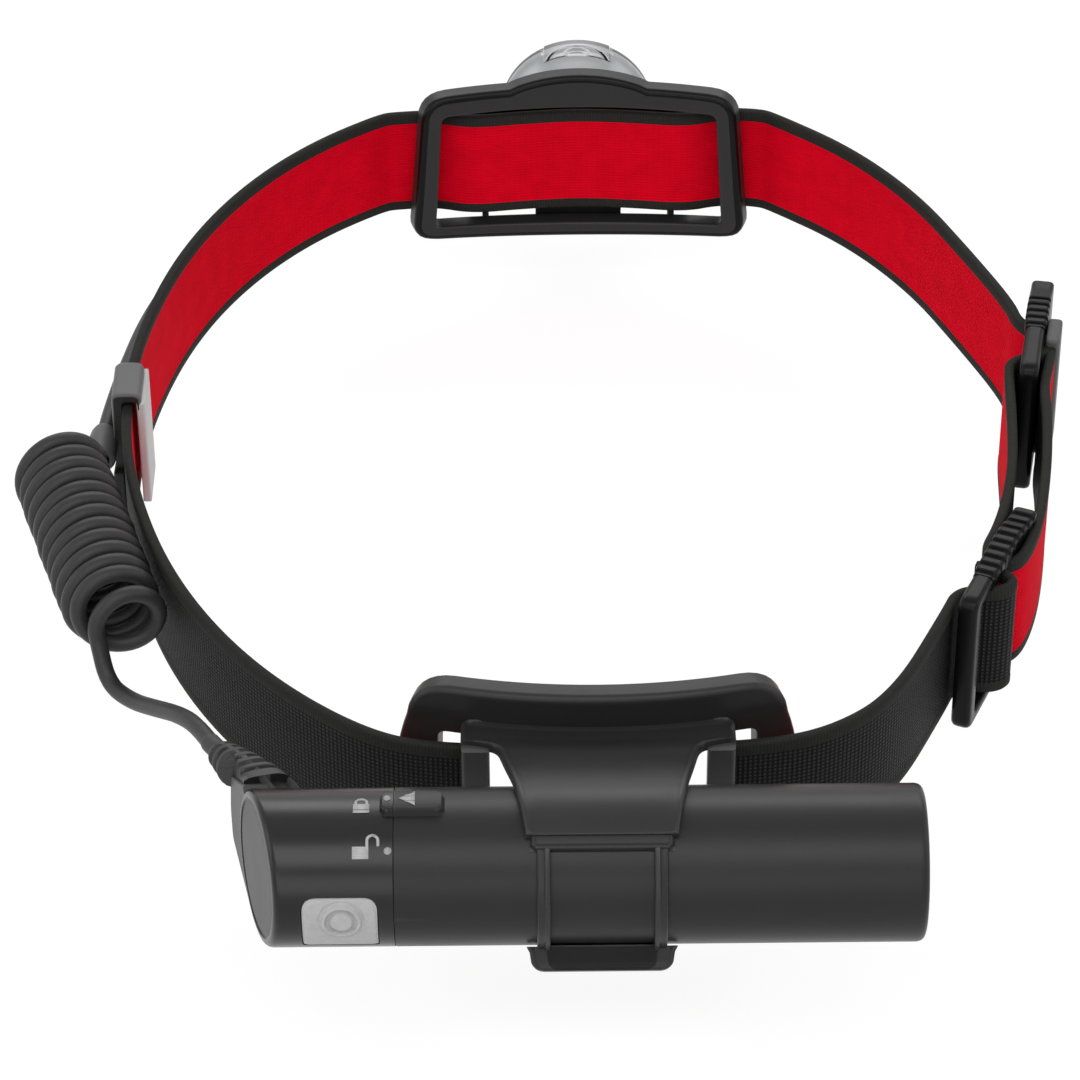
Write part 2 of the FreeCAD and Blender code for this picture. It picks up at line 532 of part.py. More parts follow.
def make_holder_cradle():
    """The clip under the tube: a wall round its front and bottom, two rails behind and a thumb lip."""
    inside, outside = "pack_radius + holder_fit", "pack_radius + holder_fit + cradle_thick"
    wall = pack_sector("cradle_wall", inside, outside, "-cradle_half", "cradle_half",
                       v.rail_end - 360, "360 - rail_end + cradle_top - 0.5")
    rails = [pack_sector("cradle_rail", inside, "pack_radius + holder_fit + rail_thick", low, high,
                         v.step_angle, "rail_end - step_angle + 2")
             for low, high in (("rail_inside", "cradle_half"), ("-cradle_half", "-rail_inside"))]
    centre = Vector(0, -v.pack_place, v.pack_height)
    radius = v.pack_radius + v.holder_fit + v.cradle_thick * 0.4

    def on_pack(out, angle):
        spread = math.radians(angle)
        return centre + Vector(0, (radius + out) * math.cos(spread), (radius + out) * math.sin(spread))

    corners = [on_pack(0, v.rail_end), on_pack(v.lip_reach, v.rail_end + 2),
               on_pack(v.lip_reach, v.rail_end + 2 + 60 * v.lip_thick / radius), on_pack(0, v.rail_end + 22)]
    profile = Part.Face(Part.makePolygon(corners + corners[:1]))
    profile.translate(Vector(-v.lip_half, 0, 0))
    lip = feature("lip", profile.extrude(Vector(2 * v.lip_half, 0, 0)))
    node(fuse("cradle", wall, *rails, lip), "holder_cradle")


# ---- straight runs joined by arcs ----------------------------------------------------------------

def rounded_path(points):
    """Straight runs joined by tangent arcs. Gives the pieces as (start, stop) or (start, middle, stop)."""
    pieces, radii, start = [], [], points[0]
    for before, corner, after in zip(points, points[1:], points[2:]):
        come, go = (corner - before), (after - corner)
        shorter = min(come.Length, go.Length)
        come, go = Vector(come).normalize(), Vector(go).normalize()
        half_turn = come.getAngle(go) / 2
        radius = 0.45 * shorter / math.tan(half_turn)
        reach = 0.45 * shorter
        first, last = corner - come * reach, corner + go * reach
        inward = Vector(go - come).normalize()
        middle = corner + inward * (radius / math.cos(half_turn) - radius)
        pieces += [(start, first), (first, middle, last)]
        radii.append(radius)
        start = last
    pieces.append((start, points[-1]))
    return pieces, radii


def edge_of(piece):
    return (Part.LineSegment(*piece) if len(piece) == 2 else Part.Arc(*piece)).toShape()


def beside(piece, aside):
    """A flat run or arc, moved sideways within its plane."""
    up = Vector(0, 0, 1)
    if len(piece) == 2:
        shift = up.cross(piece[1] - piece[0]).normalize() * aside
        return tuple(point + shift for point in piece)
    curve = Part.Arc(*piece).toShape().Curve
    turns_left = (piece[1] - piece[0]).cross(piece[2] - piece[1]).z > 0
    factor = (curve.Radius - aside) / curve.Radius if turns_left else (curve.Radius + aside) / curve.Radius
    return tuple(curve.Center + (point - curve.Center) * factor for point in piece)


def strap_band(name, points):
    """A strap on edge along a route in plan."""
    pieces, radii = rounded_path([Vector(x, y, v.strap_bottom) for x, y in points])
    print(f"{name}: smallest bend {min(radii):.1f} mm")
    left = [beside(piece, v.strap_thick / 2) for piece in pieces]
    right = [beside(piece, -v.strap_thick / 2)[::-1] for piece in reversed(pieces)]
    edges = [edge_of(piece) for piece in left]
    edges.append(Part.LineSegment(left[-1][-1], right[0][0]).toShape())
    edges += [edge_of(piece) for piece in right]
    edges.append(Part.LineSegment(right[-1][-1], left[0][0]).toShape())
    face = Part.Face(Part.Wire(edges))
    return feature(name, face.extrude(Vector(0, 0, v.strap_height)))


def loop_point(degrees):
    """A point of the strap's middle line. 0 is to the right and 90 is in front."""
    turn = math.radians(degrees)
    rear_left = math.cos(turn) < 0 and math.sin(turn) < 0
    power = 2 / (v.loop_rear_power if rear_left else v.loop_power)
    half = v.loop_right if math.cos(turn) > 0 else v.loop_left
    across = math.copysign(abs(math.cos(turn)) ** power, math.cos(turn))
    ahead = math.copysign(abs(math.sin(turn)) ** power, math.sin(turn))
    return (half * across, v.loop_half_length * ahead)


# ---- sliders and straps --------------------------------------------------------------------------

FRONT_SLIDER = {"middle": (81.3, 17.7), "heading": 79.5}
REAR_SLIDER = {"middle": (67.8, -51.3), "heading": 66.2}


SLIDER_REAR = -v.slider_length / 2
REAR_SLOT = SLIDER_REAR + v.slider_rear_bar
MIDDLE_BAR = REAR_SLOT + v.slider_rear_slot
FRONT_SLOT = MIDDLE_BAR + v.slider_bar
FRONT_BAR = FRONT_SLOT + v.slider_front_slot


def on_slider(slider, s_place, n_place):
    """A point in plan, from its place along a slider and its distance outwards."""
    heading = math.radians(slider["heading"])
    along_x, along_y = math.cos(heading), math.sin(heading)
    return (slider["middle"][0] + s_place * along_x + n_place * along_y,
            slider["middle"][1] + s_place * along_y - n_place * along_x)


def make_slider(label, slider):
    """An upright frame with two slots for the strap, and a ridged edge on top to grip."""
    body = doc.addObject("PartDesign::Body", label)
    low = "strap_bottom - slider_room - slider_rail"
    high = "strap_bottom + strap_height + slider_room + slider_rail"
    rear, front = "-slider_length / 2", "slider_length / 2"
    outside = [(rear, low), (front, low), (front, high), (rear, high)]
    plate = pad(body, f"{label}_plate", sketch(body, f"{label}_outline", "XZ_Plane", outside),
                "slider_rail_thick", middle=True)
    doc.recompute()
    corners = body.newObject("PartDesign::Fillet", f"{label}_corners")
    corners.Base = (plate, [f"Edge{i}" for i, edge in enumerate(plate.Shape.Edges, 1) if along(edge, "y")])
    corners.setExpression("Radius", rule("slider_corner"))
    slot_low, slot_high = "strap_bottom - slider_room", "strap_bottom + strap_height + slider_room"
    edges = ["slider_rear_bar - slider_length / 2"]
    for width in ("slider_rear_slot", "slider_bar", "slider_front_slot"):
        edges.append(f"{edges[-1]} + {width}")
    slots = [[(edges[i], slot_low), (edges[i + 1], slot_low), (edges[i + 1], slot_high),
              (edges[i], slot_high)] for i in (0, 2)]
    pocket(body, f"{label}_slots", sketch(body, f"{label}_slot_outlines", "XZ_Plane", *slots))
    for way, reach in (("inner", "-1"), ("outer", "1")):
        near, far = f"{reach} * slider_thick / 2", f"{reach} * slider_rail_thick"
        slab = [(edges[0], near), (front + " + 1", near), (front + " + 1", far), (edges[0], far)]
        thin = sketch(body, f"{label}_{way}_face", "XY_Plane", slab)
        thin.AttachmentOffset = Placement(Vector(0, 0, v.strap_bottom - v.slider_room), Rotation())
        cutter = body.newObject("PartDesign::Pocket", f"{label}_{way}_cut")
        cutter.Profile, cutter.Reversed = thin, True
        cutter.setExpression("Length", rule("strap_height + slider_room * 2"))
        body.Tip = cutter
    groove = [("slider_length / 2 - 2 - ridge_wide", f"{high} - ridge_depth"),
              ("slider_length / 2 - 2", f"{high} - ridge_depth"), ("slider_length / 2 - 2", f"{high} + 1"),
              ("slider_length / 2 - 2 - ridge_wide", f"{high} + 1")]
    first = pocket(body, f"{label}_groove", sketch(body, f"{label}_groove_outline", "XZ_Plane", groove))
    doc.recompute()
    ridges = body.newObject("PartDesign::LinearPattern", f"{label}_ridges")
    ridges.Originals = [first]
    ridges.Direction = (next(part for part in body.Origin.OriginFeatures if part.Role == "X_Axis"), [""])
    ridges.Reversed = True
    ridges.setExpression("Length", rule("ridge_pitch * (ridge_count - 1)"))
    ridges.setExpression("Occurrences", rule("ridge_count"))
    body.Tip = ridges
    body.Placement = Placement(Vector(*slider["middle"], 0), Rotation(Vector(0, 0, 1), slider["heading"]))
    node(body, label)


def mirrored_place(point):
    return (-point[0], point[1])


def front_run():
    """The strap's route across the forehead: out over the frame's side bars and in behind the base."""
    over = v.forehead_face - v.frame_arc + math.sqrt(
        (v.frame_arc + v.frame_thick) ** 2 - v.forehead_half_top ** 2) + v.strap_thick / 2 + v.soft_gap
    right = [(0, v.forehead_face + v.frame_thick - v.strap_thick / 2 - 0.7), (11, over + 0.8),
             (21, over - 0.7), (v.forehead_window_top + 1, over + 1.6),
             (v.forehead_half_bottom + 2.2, over + 1)]
    return [mirrored_place(point) for point in reversed(right[1:])] + right


def make_straps():
    start = (-v.bar_inside - 0.3, -v.bar_front + v.soft_gap + v.strap_thick / 2)
    beside_clip = [(-v.loop_left, v.clip_place + shift) for shift in (-0.9 * v.clip_length, v.clip_length)]
    left_side = [*[loop_point(degrees) for degrees in range(244, 190, -12)], *beside_clip,
                 *[loop_point(degrees) for degrees in range(161, 116, -11)]]
    right_side = [loop_point(degrees) for degrees in (62, 49, 36, 24)]
    into_front = [on_slider(FRONT_SLIDER, *place) for place in (
        (FRONT_BAR + 6.1, -5.4), (FRONT_BAR, -3.4), (FRONT_SLOT + 1.2, 2.8), (MIDDLE_BAR - 1, 2.8),
        (REAR_SLOT + 0.8, -3.8), (SLIDER_REAR - 1.5, -3.5))]
    between = [(75.4, -8.0), (74.0, -24.0)]
    round_rear = [on_slider(REAR_SLIDER, *place) for place in (
        (-SLIDER_REAR - 1, -3.2), (FRONT_BAR - 2.4, -3.2), (FRONT_BAR - 2.4, 3.2), (-SLIDER_REAR - 1, 3.2))]
    back_out = [(80.4, -26.0), (82.6, -8.0)]
    over_front = [on_slider(FRONT_SLIDER, *place) for place in (
        (SLIDER_REAR - 1, 3.5), (REAR_SLOT + 2.2, 4.9), (FRONT_BAR + 1.6, 4.8))]
    route = [start, (start[0] - 7, start[1] + 0.1), *left_side, *front_run(), *right_side, *into_front,
             *between, *round_rear, *back_out, *over_front]
    node(strap_band("main_strap", route), "headband")
    rear_route = [mirrored_place(start), (-start[0] + 7, start[1] + 0.1), loop_point(297), loop_point(307),
                  *[on_slider(REAR_SLIDER, *place) for place in (
                      (SLIDER_REAR - 2.5, -3.6), (REAR_SLOT + 0.8, -3.8), (MIDDLE_BAR - 1, 3.9),
                      (FRONT_SLOT + 1.25, 3.9), (FRONT_SLOT + 1.25, -3.2))]]
    node(strap_band("short_strap", rear_route), "rear_strap")
    make_end_stop(on_slider(FRONT_SLIDER, FRONT_BAR + 1.6, 4.8))


def make_end_stop(end):
    """A tab folded over the strap's loose end."""
    low, high = v.strap_bottom - v.stop_over, v.strap_bottom + v.strap_height + v.stop_over
    block = Part.makeBox(v.stop_length, v.stop_thick, high - low,
                         Vector(-v.stop_length + 1.2, -v.stop_thick / 2, low))
    block = block.makeFillet(v.stop_thick * 0.4, [edge for edge in block.Edges if along(edge, "z")])
    slot = Part.makeBox(v.stop_length, v.strap_thick + v.soft_gap, v.strap_height,
                        Vector(-v.stop_length, -(v.strap_thick + v.soft_gap) / 2, v.strap_bottom))
    block = block.cut(slot)
    item = feature("end_stop", block)
    item.Placement = Placement(Vector(*end, 0), Rotation(Vector(0, 0, 1), FRONT_SLIDER["heading"]))
    node(item, "strap_end_stop")


# ---- cable clip ----------------------------------------------------------------------------------

BARREL_X = "-loop_left - strap_thick / 2 - soft_gap - clip_wall - barrel_radius + 0.4"
BARREL_Y = "clip_place - clip_length / 2 - 4"
BARREL_Z = "strap_bottom + strap_height * 0.62"


def make_cable_clip():
    """A hook over the strap's top edge, with a barrel outside for the lead and a light plate inside."""
    half = "(strap_thick / 2 + soft_gap)"
    outer_wall = (f"-loop_left - {half} - clip_wall", f"-loop_left - {half}")
    length = ("clip_place - clip_length / 2", "clip_place + clip_length / 2")
    top = ("strap_bottom + strap_height + soft_gap", "strap_bottom + strap_height + clip_top")
    leg = box("clip_leg", outer_wall, length, ("clip_low", top[1]))
    roof = box("clip_roof", (outer_wall[0], f"-loop_left + {half} + clip_plate"), length, top)
    barrel = cylinder("clip_barrel", "y", (BARREL_X, BARREL_Z), "barrel_radius", BARREL_Y,
                      f"{BARREL_Y} + barrel_length")
    bore = cylinder("clip_bore", "y", (BARREL_X, BARREL_Z), "cord_diameter / 2", f"{BARREL_Y} - 1",
                    f"{BARREL_Y} + barrel_length + 1")
    node(cut("clip", fuse("clip_solid", leg, roof, barrel), bore), "cable_clip")
    node(box("plate", (f"-loop_left + {half}", f"-loop_left + {half} + clip_plate"), length,
             ("clip_low - 1", top[0])), "clip_plate")
    return barrel


# ---- lead ----------------------------------------------------------------------------------------

COIL_START = Vector(1 - v.loop_left, -56.4, v.pack_height)
COIL_STOP = Vector(-v.loop_left - 11.4, -21, v.pack_height)
BOOT_BASE = Vector(v.cap_end + 2.1, -v.pack_place + v.pack_radius * 0.8, v.pack_height + 1)
BOOT_TIP = Vector(v.cap_end - 8.9, -v.pack_place + 26.12, v.pack_height + 3.5)
BOOT_WAY = Vector(-0.42, 0.88, -0.2)
LOWER_ROUTE = [BOOT_TIP, Vector(-64.0, -90.5, 26.2), Vector(-69.0, -81.5, 24.0), Vector(-75.5, -71.0, 21.5)]
UPPER_ROUTE = [Vector(-83.5, 20, 19.4), Vector(-80.6, 39, 19), Vector(-74.6, 57, 18.4),
               Vector(-65.4, 74.6, 17.8), Vector(-54.6, 88.4, 17.2), Vector(-44.5, 97.2, 16.6)]


def tube_along(name, route, diameter):
    """A round lead along straight runs joined by arcs."""
    pieces, radii = rounded_path(route)
    wire = Part.Wire([edge_of(piece) for piece in pieces])
    way = (route[1] - route[0]).normalize()
    section = Part.Wire([Part.makeCircle(diameter / 2, route[0], way)])
    solid = wire.makePipeShell([section], True, False)
    length = wire.Length
    print(f"{name}: length {length:.1f}, radii {[round(radius, 1) for radius in radii]}, "
          f"volume over section x length {solid.Volume / (math.pi * diameter ** 2 / 4 * length):.3f}")
    return feature(name, solid)


def coil_face(middle, way, aside, down):
    """A point on a coil's end face, where the wire leaves it."""
    across = Vector(0, 0, 1).cross(way).normalize()
    return middle + across * aside - Vector(0, 0, down)


def make_lead(barrel):
    way = (COIL_STOP - COIL_START).normalize()
    turn_radius = (v.coil_outer - v.cord_diameter) / 2
    coil = feature("coil", Part.makeCylinder(v.coil_outer / 2, (COIL_STOP - COIL_START).Length, COIL_START,
                                             way))
    node(coil, "cord_coil")
    lower_end = coil_face(COIL_START, way, turn_radius * 0.8, turn_radius * 0.55)
    upper_start = coil_face(COIL_STOP, way, -turn_radius * 0.8, turn_radius * 0.5)
    lower = [*LOWER_ROUTE, lower_end - way * 6, lower_end]
    node(tube_along("lower_lead", lower, v.cord_diameter), "cord_lower")
    doc.recompute()
    mouth = barrel.Placement.Base
    through = [mouth - Vector(0, 2.5, 0), mouth + Vector(0, v.barrel_length + 2, 0)]
    plate_front = v.forehead_face + v.frame_thick + v.base_gap + v.base_thick
    gland_end = Vector(-v.ear_inside - v.ear_thick - v.gland_length, plate_front + v.gland_radius + 0.1,
                       v.lamp_height)
    upper = [upper_start, *through, *UPPER_ROUTE, gland_end - Vector(9, 1.4, 0), gland_end]
    node(tube_along("upper_lead", upper, v.cord_diameter), "cord_upper")
    gland = Part.makeCylinder(v.gland_radius, v.gland_length, gland_end, Vector(1, 0, 0))
    node(feature("gland", gland), "lamp_gland")


def make_strain_relief():
    """A tapering rubber boot with ribs, from the front of the cap to the lead."""
    tip, way = BOOT_TIP, Vector(BOOT_WAY).normalize()
    tip_ring = Part.Wire([Part.makeCircle(v.cord_diameter / 2 + 0.6, tip, way)])

    def section(share, swell):
        """An oblong section, part of the way from the cap to the tip."""
        centre = BOOT_BASE + (tip - BOOT_BASE) * share
        wide, tall = (1 - share) * 7.4 + share * 2.2 + swell, (1 - share) * 8.4 + share * 2.2 + swell
        turn = Rotation(Vector(0, 1, 0), Vector(0, 1, 0) * (1 - share) + way * share)
        shape = Part.Ellipse(Vector(), max(wide, tall + 0.01), min(wide, tall)).toShape()
        flat = Part.Wire([shape])
        flat.rotate(Vector(), Vector(1, 0, 0), 90)
        if tall > wide:
            flat.rotate(Vector(), Vector(0, 1, 0), 90)
        flat.Placement = Placement(centre, turn) * flat.Placement
        return flat

    core = Part.makeLoft([section(0, 0), section(0.5, -0.6), section(0.97, 0)], True, False)
    solid = core
    for step in range(int(v.boot_ribs)):
        share = 0.24 + 0.7 * step / v.boot_ribs
        rib = Part.makeLoft([section(share, v.boot_rib), section(share + 0.05, v.boot_rib)], True, True)
        solid = solid.fuse(rib)
    pack = Part.makeCylinder(v.pack_radius, 40, Vector(-70, -v.pack_place, v.pack_height), Vector(1, 0, 0))
    node(feature("boot", solid.cut(pack)), "strain_relief")


# ---- the model -----------------------------------------------------------------------------------

def main():
    make_forehead_frame()
    make_nape_frame()
    make_lamp_base()
    make_hinge_pins()
    make_lamp_housing()
    make_heat_sink()
    make_light_source()
    make_focus()
    make_battery_tube()
    make_battery_cap()
    make_switch()
    make_power_train()
    make_pack_holder()
    make_holder_cradle()
    make_slider("front_slider", FRONT_SLIDER)
    make_slider("rear_slider", REAR_SLIDER)
    make_straps()
    barrel = make_cable_clip()
    make_lead(barrel)
    make_strain_relief()
    doc.recompute()
    check()
    write()


def check():
    """Stops at the first object that failed or the first sub-part without a sound shape."""
    for item in doc.Objects:
        if {"Invalid", "Error"} & set(item.State):
            raise RuntimeError(f"{item.Label} failed: {item.State}")
    for item in nodes:
        if item.Shape.isNull() or not item.Shape.isValid():
            raise RuntimeError(f"{item.Label} has no sound shape")


def write():
    os.makedirs("parts", exist_ok=True)
    for item in nodes:
        item.Shape.exportStep(f"parts/{item.Label}.step")
        middle, solids = item.Shape.BoundBox.Center, len(item.Shape.Solids)
        print(f"{item.Label}: {solids} solid(s), {item.Shape.Volume:.0f} mm3, about "
              f"({middle.x:.1f}, {middle.y:.1f}, {middle.z:.1f})")


main()
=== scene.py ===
import math

import bmesh
import bpy
import numpy as np
from mathutils import Matrix, Vector


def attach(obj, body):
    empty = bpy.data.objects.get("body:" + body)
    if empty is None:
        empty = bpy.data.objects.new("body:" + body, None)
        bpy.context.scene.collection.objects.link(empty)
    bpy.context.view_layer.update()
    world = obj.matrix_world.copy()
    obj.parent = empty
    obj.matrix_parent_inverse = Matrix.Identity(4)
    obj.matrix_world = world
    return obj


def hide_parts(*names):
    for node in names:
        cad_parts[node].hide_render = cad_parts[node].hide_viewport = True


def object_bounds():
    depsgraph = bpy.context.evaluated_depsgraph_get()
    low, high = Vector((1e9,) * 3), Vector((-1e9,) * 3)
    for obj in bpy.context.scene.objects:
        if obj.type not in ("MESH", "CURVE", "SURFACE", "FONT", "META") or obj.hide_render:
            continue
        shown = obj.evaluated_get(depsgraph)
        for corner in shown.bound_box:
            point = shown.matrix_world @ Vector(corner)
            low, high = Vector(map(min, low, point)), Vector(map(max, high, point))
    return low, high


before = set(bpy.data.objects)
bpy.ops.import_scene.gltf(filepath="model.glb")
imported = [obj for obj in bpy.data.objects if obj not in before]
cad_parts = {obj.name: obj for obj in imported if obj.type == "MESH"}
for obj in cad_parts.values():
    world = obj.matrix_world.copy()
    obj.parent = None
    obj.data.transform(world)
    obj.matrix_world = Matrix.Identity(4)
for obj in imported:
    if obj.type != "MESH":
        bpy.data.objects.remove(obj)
cadLow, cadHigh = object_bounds()
mm = 0.001

cameraView = {"place": (-11.856, -615.245, 454.75), "pitch": 36.761, "yaw": 0.3126, "roll": -0.321,
              "lens": 140.79, "sensor": 36}
studio = {"worldStrength": 0.5, "nadir": 0.5, "sky": ((0.5, 0.28), (0.62, 0.35), (0.78, 0.8)),
          "floorHalf": 4.0, "floorColour": (0.86, 0.86, 0.86), "floorShine": 0.8, "floorGlow": 1.1,
          "floorDrop": 0.012}
# each lamp's place, what it points at, its two sides in metres, and its watts
lamps = {
    "keyLight": ((0.0, -0.7, 0.95), (0, -0.02, 0), (1.1, 0.55), 5.2),
    "backLight": ((0.05, 0.88, 0.8), (0, 0, 0.02), (1.2, 0.45), 5.6),
    "leftLight": ((-0.9, -0.15, 0.4), (0, -0.02, 0.02), (0.5, 0.7), 1.6),
    "rightLight": ((0.9, -0.1, 0.45), (0, 0, 0.02), (0.5, 0.7), 1.2),
    "frontLight": ((-0.2, -0.9, 0.25), (0, -0.1, 0.02), (0.8, 0.4), 1.5),
}


def makeCamera():
    pitch, yaw, roll = (math.radians(cameraView[k]) for k in ("pitch", "yaw", "roll"))
    flat = math.cos(pitch)
    ahead = Vector((math.sin(yaw) * flat, math.cos(yaw) * flat, -math.sin(pitch)))
    level = ahead.cross(Vector((0, 0, 1))).normalized()
    upright = level.cross(ahead)
    right = level * math.cos(roll) + upright * math.sin(roll)
    up = right.cross(ahead)
    data = bpy.data.cameras.new("camera")
    data.lens, data.sensor_width = cameraView["lens"], cameraView["sensor"]
    data.clip_start, data.clip_end = 0.01, 20
    camera = bpy.data.objects.new("camera", data)
    turn = Matrix((right, up, -ahead)).transposed().to_4x4()
    camera.matrix_world = Matrix.Translation(Vector(cameraView["place"]) * mm) @ turn
    bpy.context.scene.collection.objects.link(camera)
    bpy.context.scene.camera = camera


def seenRays(nodes, links):
    # 1 for rays of the camera, and for those that metal reflects and glass lets through.
    ray = nodes.new("ShaderNodeLightPath")
    value = ray.outputs["Is Camera Ray"]
    for other in ("Is Glossy Ray", "Is Transmission Ray"):
        both = nodes.new("ShaderNodeMath")
        both.operation, both.use_clamp = "ADD", True
        links.new(value, both.inputs[0])
        links.new(ray.outputs[other], both.inputs[1])
        value = both.outputs[0]
    return value


def makeWorld():
    world = bpy.data.worlds.new("studio")
    bpy.context.scene.world = world
    world.use_nodes = True
    nodes, links = world.node_tree.nodes, world.node_tree.links
    nodes.clear()
    out = nodes.new("ShaderNodeOutputWorld")
    mix = nodes.new("ShaderNodeMixShader")
    seen = nodes.new("ShaderNodeBackground")
    seen.inputs["Color"].default_value = (1, 1, 1, 1)
    seen.inputs["Strength"].default_value = 1
    soft = nodes.new("ShaderNodeBackground")
    soft.inputs["Strength"].default_value = studio["worldStrength"]
    place = nodes.new("ShaderNodeTexCoord")
    parts = nodes.new("ShaderNodeSeparateXYZ")
    links.new(place.outputs["Generated"], parts.inputs[0])
    ramp = nodes.new("ShaderNodeValToRGB")
    ramp.color_ramp.elements[0].color = (*[studio["nadir"]] * 3, 1)
    ramp.color_ramp.elements[1].color = (1, 1, 1, 1)
    for position, tone in studio["sky"]:
        stop = ramp.color_ramp.elements.new(position)
        stop.color = (tone, tone, tone, 1)
    share = nodes.new("ShaderNodeMapRange")
    share.inputs["From Min"].default_value = -1
    links.new(parts.outputs[2], share.inputs["Value"])
    links.new(share.outputs["Result"], ramp.inputs[0])
    links.new(ramp.outputs[0], soft.inputs["Color"])
    links.new(seenRays(nodes, links), mix.inputs[0])
    links.new(soft.outputs[0], mix.inputs[1])
    links.new(seen.outputs[0], mix.inputs[2])
    links.new(mix.outputs[0], out.inputs[0])


def makeFloor():
    mesh = bpy.data.meshes.new("floor")
    half = studio["floorHalf"]
    mesh.from_pydata([(-half, -half, 0), (half, -half, 0), (half, half, 0), (-half, half, 0)], [],
                     [(0, 1, 2, 3)])
    floor = bpy.data.objects.new("floor", mesh)
    floor.location.z = cadLow.z - studio["floorDrop"]
    bpy.context.scene.collection.objects.link(floor)
    material = bpy.data.materials.new("paleFloor")
    material.use_nodes = True
    nodes, links = material.node_tree.nodes, material.node_tree.links
    nodes.clear()
    out = nodes.new("ShaderNodeOutputMaterial")
    mix = nodes.new("ShaderNodeMixShader")
    share = nodes.new("ShaderNodeMath")
    share.operation = "MULTIPLY"
    share.inputs[1].default_value = studio["floorShine"]
    paint = nodes.new("ShaderNodeBsdfDiffuse")
    paint.inputs["Color"].default_value = (*studio["floorColour"], 1)
    glow = nodes.new("ShaderNodeEmission")
    glow.inputs["Color"].default_value = (1, 1, 1, 1)
    glow.inputs["Strength"].default_value = studio["floorGlow"]
    links.new(seenRays(nodes, links), share.inputs[0])
    links.new(share.outputs[0], mix.inputs[0])
    links.new(paint.outputs[0], mix.inputs[1])
    links.new(glow.outputs[0], mix.inputs[2])
    links.new(mix.outputs[0], out.inputs[0])
    mesh.materials.append(material)


def makeLamp(name, place, target, size, watts):
    data = bpy.data.lights.new(name, "AREA")
    data.shape, data.size, data.size_y, data.energy = "RECTANGLE", size[0], size[1], watts
    lamp = bpy.data.objects.new(name, data)
    lamp.location = place
    lamp.rotation_euler = (Vector(target) - Vector(place)).to_track_quat("-Z", "Y").to_euler()
    bpy.context.scene.collection.objects.link(lamp)


bpy.context.scene.view_settings.view_transform = "Standard"
makeCamera()
makeWorld()
makeFloor()
for name, (place, target, size, watts) in lamps.items():
    makeLamp(name, place, target, size, watts)
print("camera, floor and light are in place")


tree = {}


def nodeMaterial(name):
    # A material with one Principled shader. add and link work in the newest material.
    material = bpy.data.materials.new(name)
    material.use_nodes = True
    tree["nodes"], tree["links"] = material.node_tree.nodes, material.node_tree.links
    return material, tree["nodes"]["Principled BSDF"].inputs


def add(kind):
    return tree["nodes"].new(kind)


def link(value, socket):
    tree["links"].new(value, socket)


def objectPlace():
    return add("ShaderNodeTexCoord").outputs["Object"]


def noiseNode(place, scale, detail=3.0, rough=0.5):
    noise = add("ShaderNodeTexNoise")
    noise.inputs["Scale"].default_value = scale
    noise.inputs["Detail"].default_value = detail
    noise.inputs["Roughness"].default_value = rough
    link(place, noise.inputs["Vector"])
    return noise.outputs["Fac"]


def spread(value, low, high):
    # The value, from 0 to 1, laid between low and high.
    node = add("ShaderNodeMapRange")
    node.inputs["To Min"].default_value, node.inputs["To Max"].default_value = low, high
    link(value, node.inputs["Value"])
    return node.outputs["Result"]


def mixColour(share, first, second):
    node = add("ShaderNodeMix")
    node.data_type = "RGBA"
    for socket, colour in ((node.inputs[6], first), (node.inputs[7], second)):
        if isinstance(colour, tuple):
            socket.default_value = (*colour, 1)
        else:
            link(colour, socket)
    link(share, node.inputs[0])
    return node.outputs[2]


def shades(colour, dark, light):
    # A darker and a lighter shade of a colour.
    return tuple(c * dark for c in colour), tuple(min(1, c * light) for c in colour)


def mathNode(operation, first, second=None):
    node = add("ShaderNodeMath")
    node.operation = operation
    for i, value in enumerate((first, second)):
        if value is None:
            continue
        if isinstance(value, (int, float)):
            node.inputs[i].default_value = value
        else:
            link(value, node.inputs[i])
    return node.outputs[0]


def plus(first, second):
    return mathNode("ADD", first, second)


def times(first, second):
    return mathNode("MULTIPLY", first, second)


def bumpNode(height, distance):
    node = add("ShaderNodeBump")
    node.inputs["Strength"].default_value = 1.0
    node.inputs["Distance"].default_value = distance
    link(height, node.inputs["Height"])
    return node.outputs["Normal"]


def mouldedPlastic(name, colour, roughness, grain=0.00001, worn=1.5, metallic=0.0, gloss=0.22):
    # Moulded plastic: faint mottling, a fine grain, and edges that are rubbed a little paler.
    material, look = nodeMaterial(name)
    place = objectPlace()
    base = mixColour(noiseNode(place, 55, 4, 0.6), *shades(colour, 0.86, 1.16))
    rubbed = add("ShaderNodeMapRange")
    rubbed.inputs["From Min"].default_value, rubbed.inputs["From Max"].default_value = 0.53, 0.62
    link(add("ShaderNodeNewGeometry").outputs["Pointiness"], rubbed.inputs["Value"])
    paler = tuple(min(1, c * worn + 0.004) for c in colour)
    link(mixColour(rubbed.outputs["Result"], base, paler), look["Base Color"])
    link(spread(noiseNode(place, 140, 3), roughness - 0.04, roughness + 0.05), look["Roughness"])
    link(bumpNode(noiseNode(place, 5200, 2, 0.7), grain), look["Normal"])
    look["Metallic"].default_value = metallic
    look["Specular IOR Level"].default_value = gloss
    return material


def rubberSkin(name, colour, roughness=0.42):
    # Soft rubber: a silky sheen with fine dust-like speckle.
    material, look = nodeMaterial(name)
    place = objectPlace()
    speckle = noiseNode(place, 900, 5, 0.7)
    link(mixColour(speckle, *shades(colour, 0.8, 1.22)), look["Base Color"])
    link(spread(noiseNode(place, 70, 3), roughness - 0.05, roughness + 0.07), look["Roughness"])
    link(bumpNode(speckle, 0.000025), look["Normal"])
    look["Specular IOR Level"].default_value = 0.22
    return material


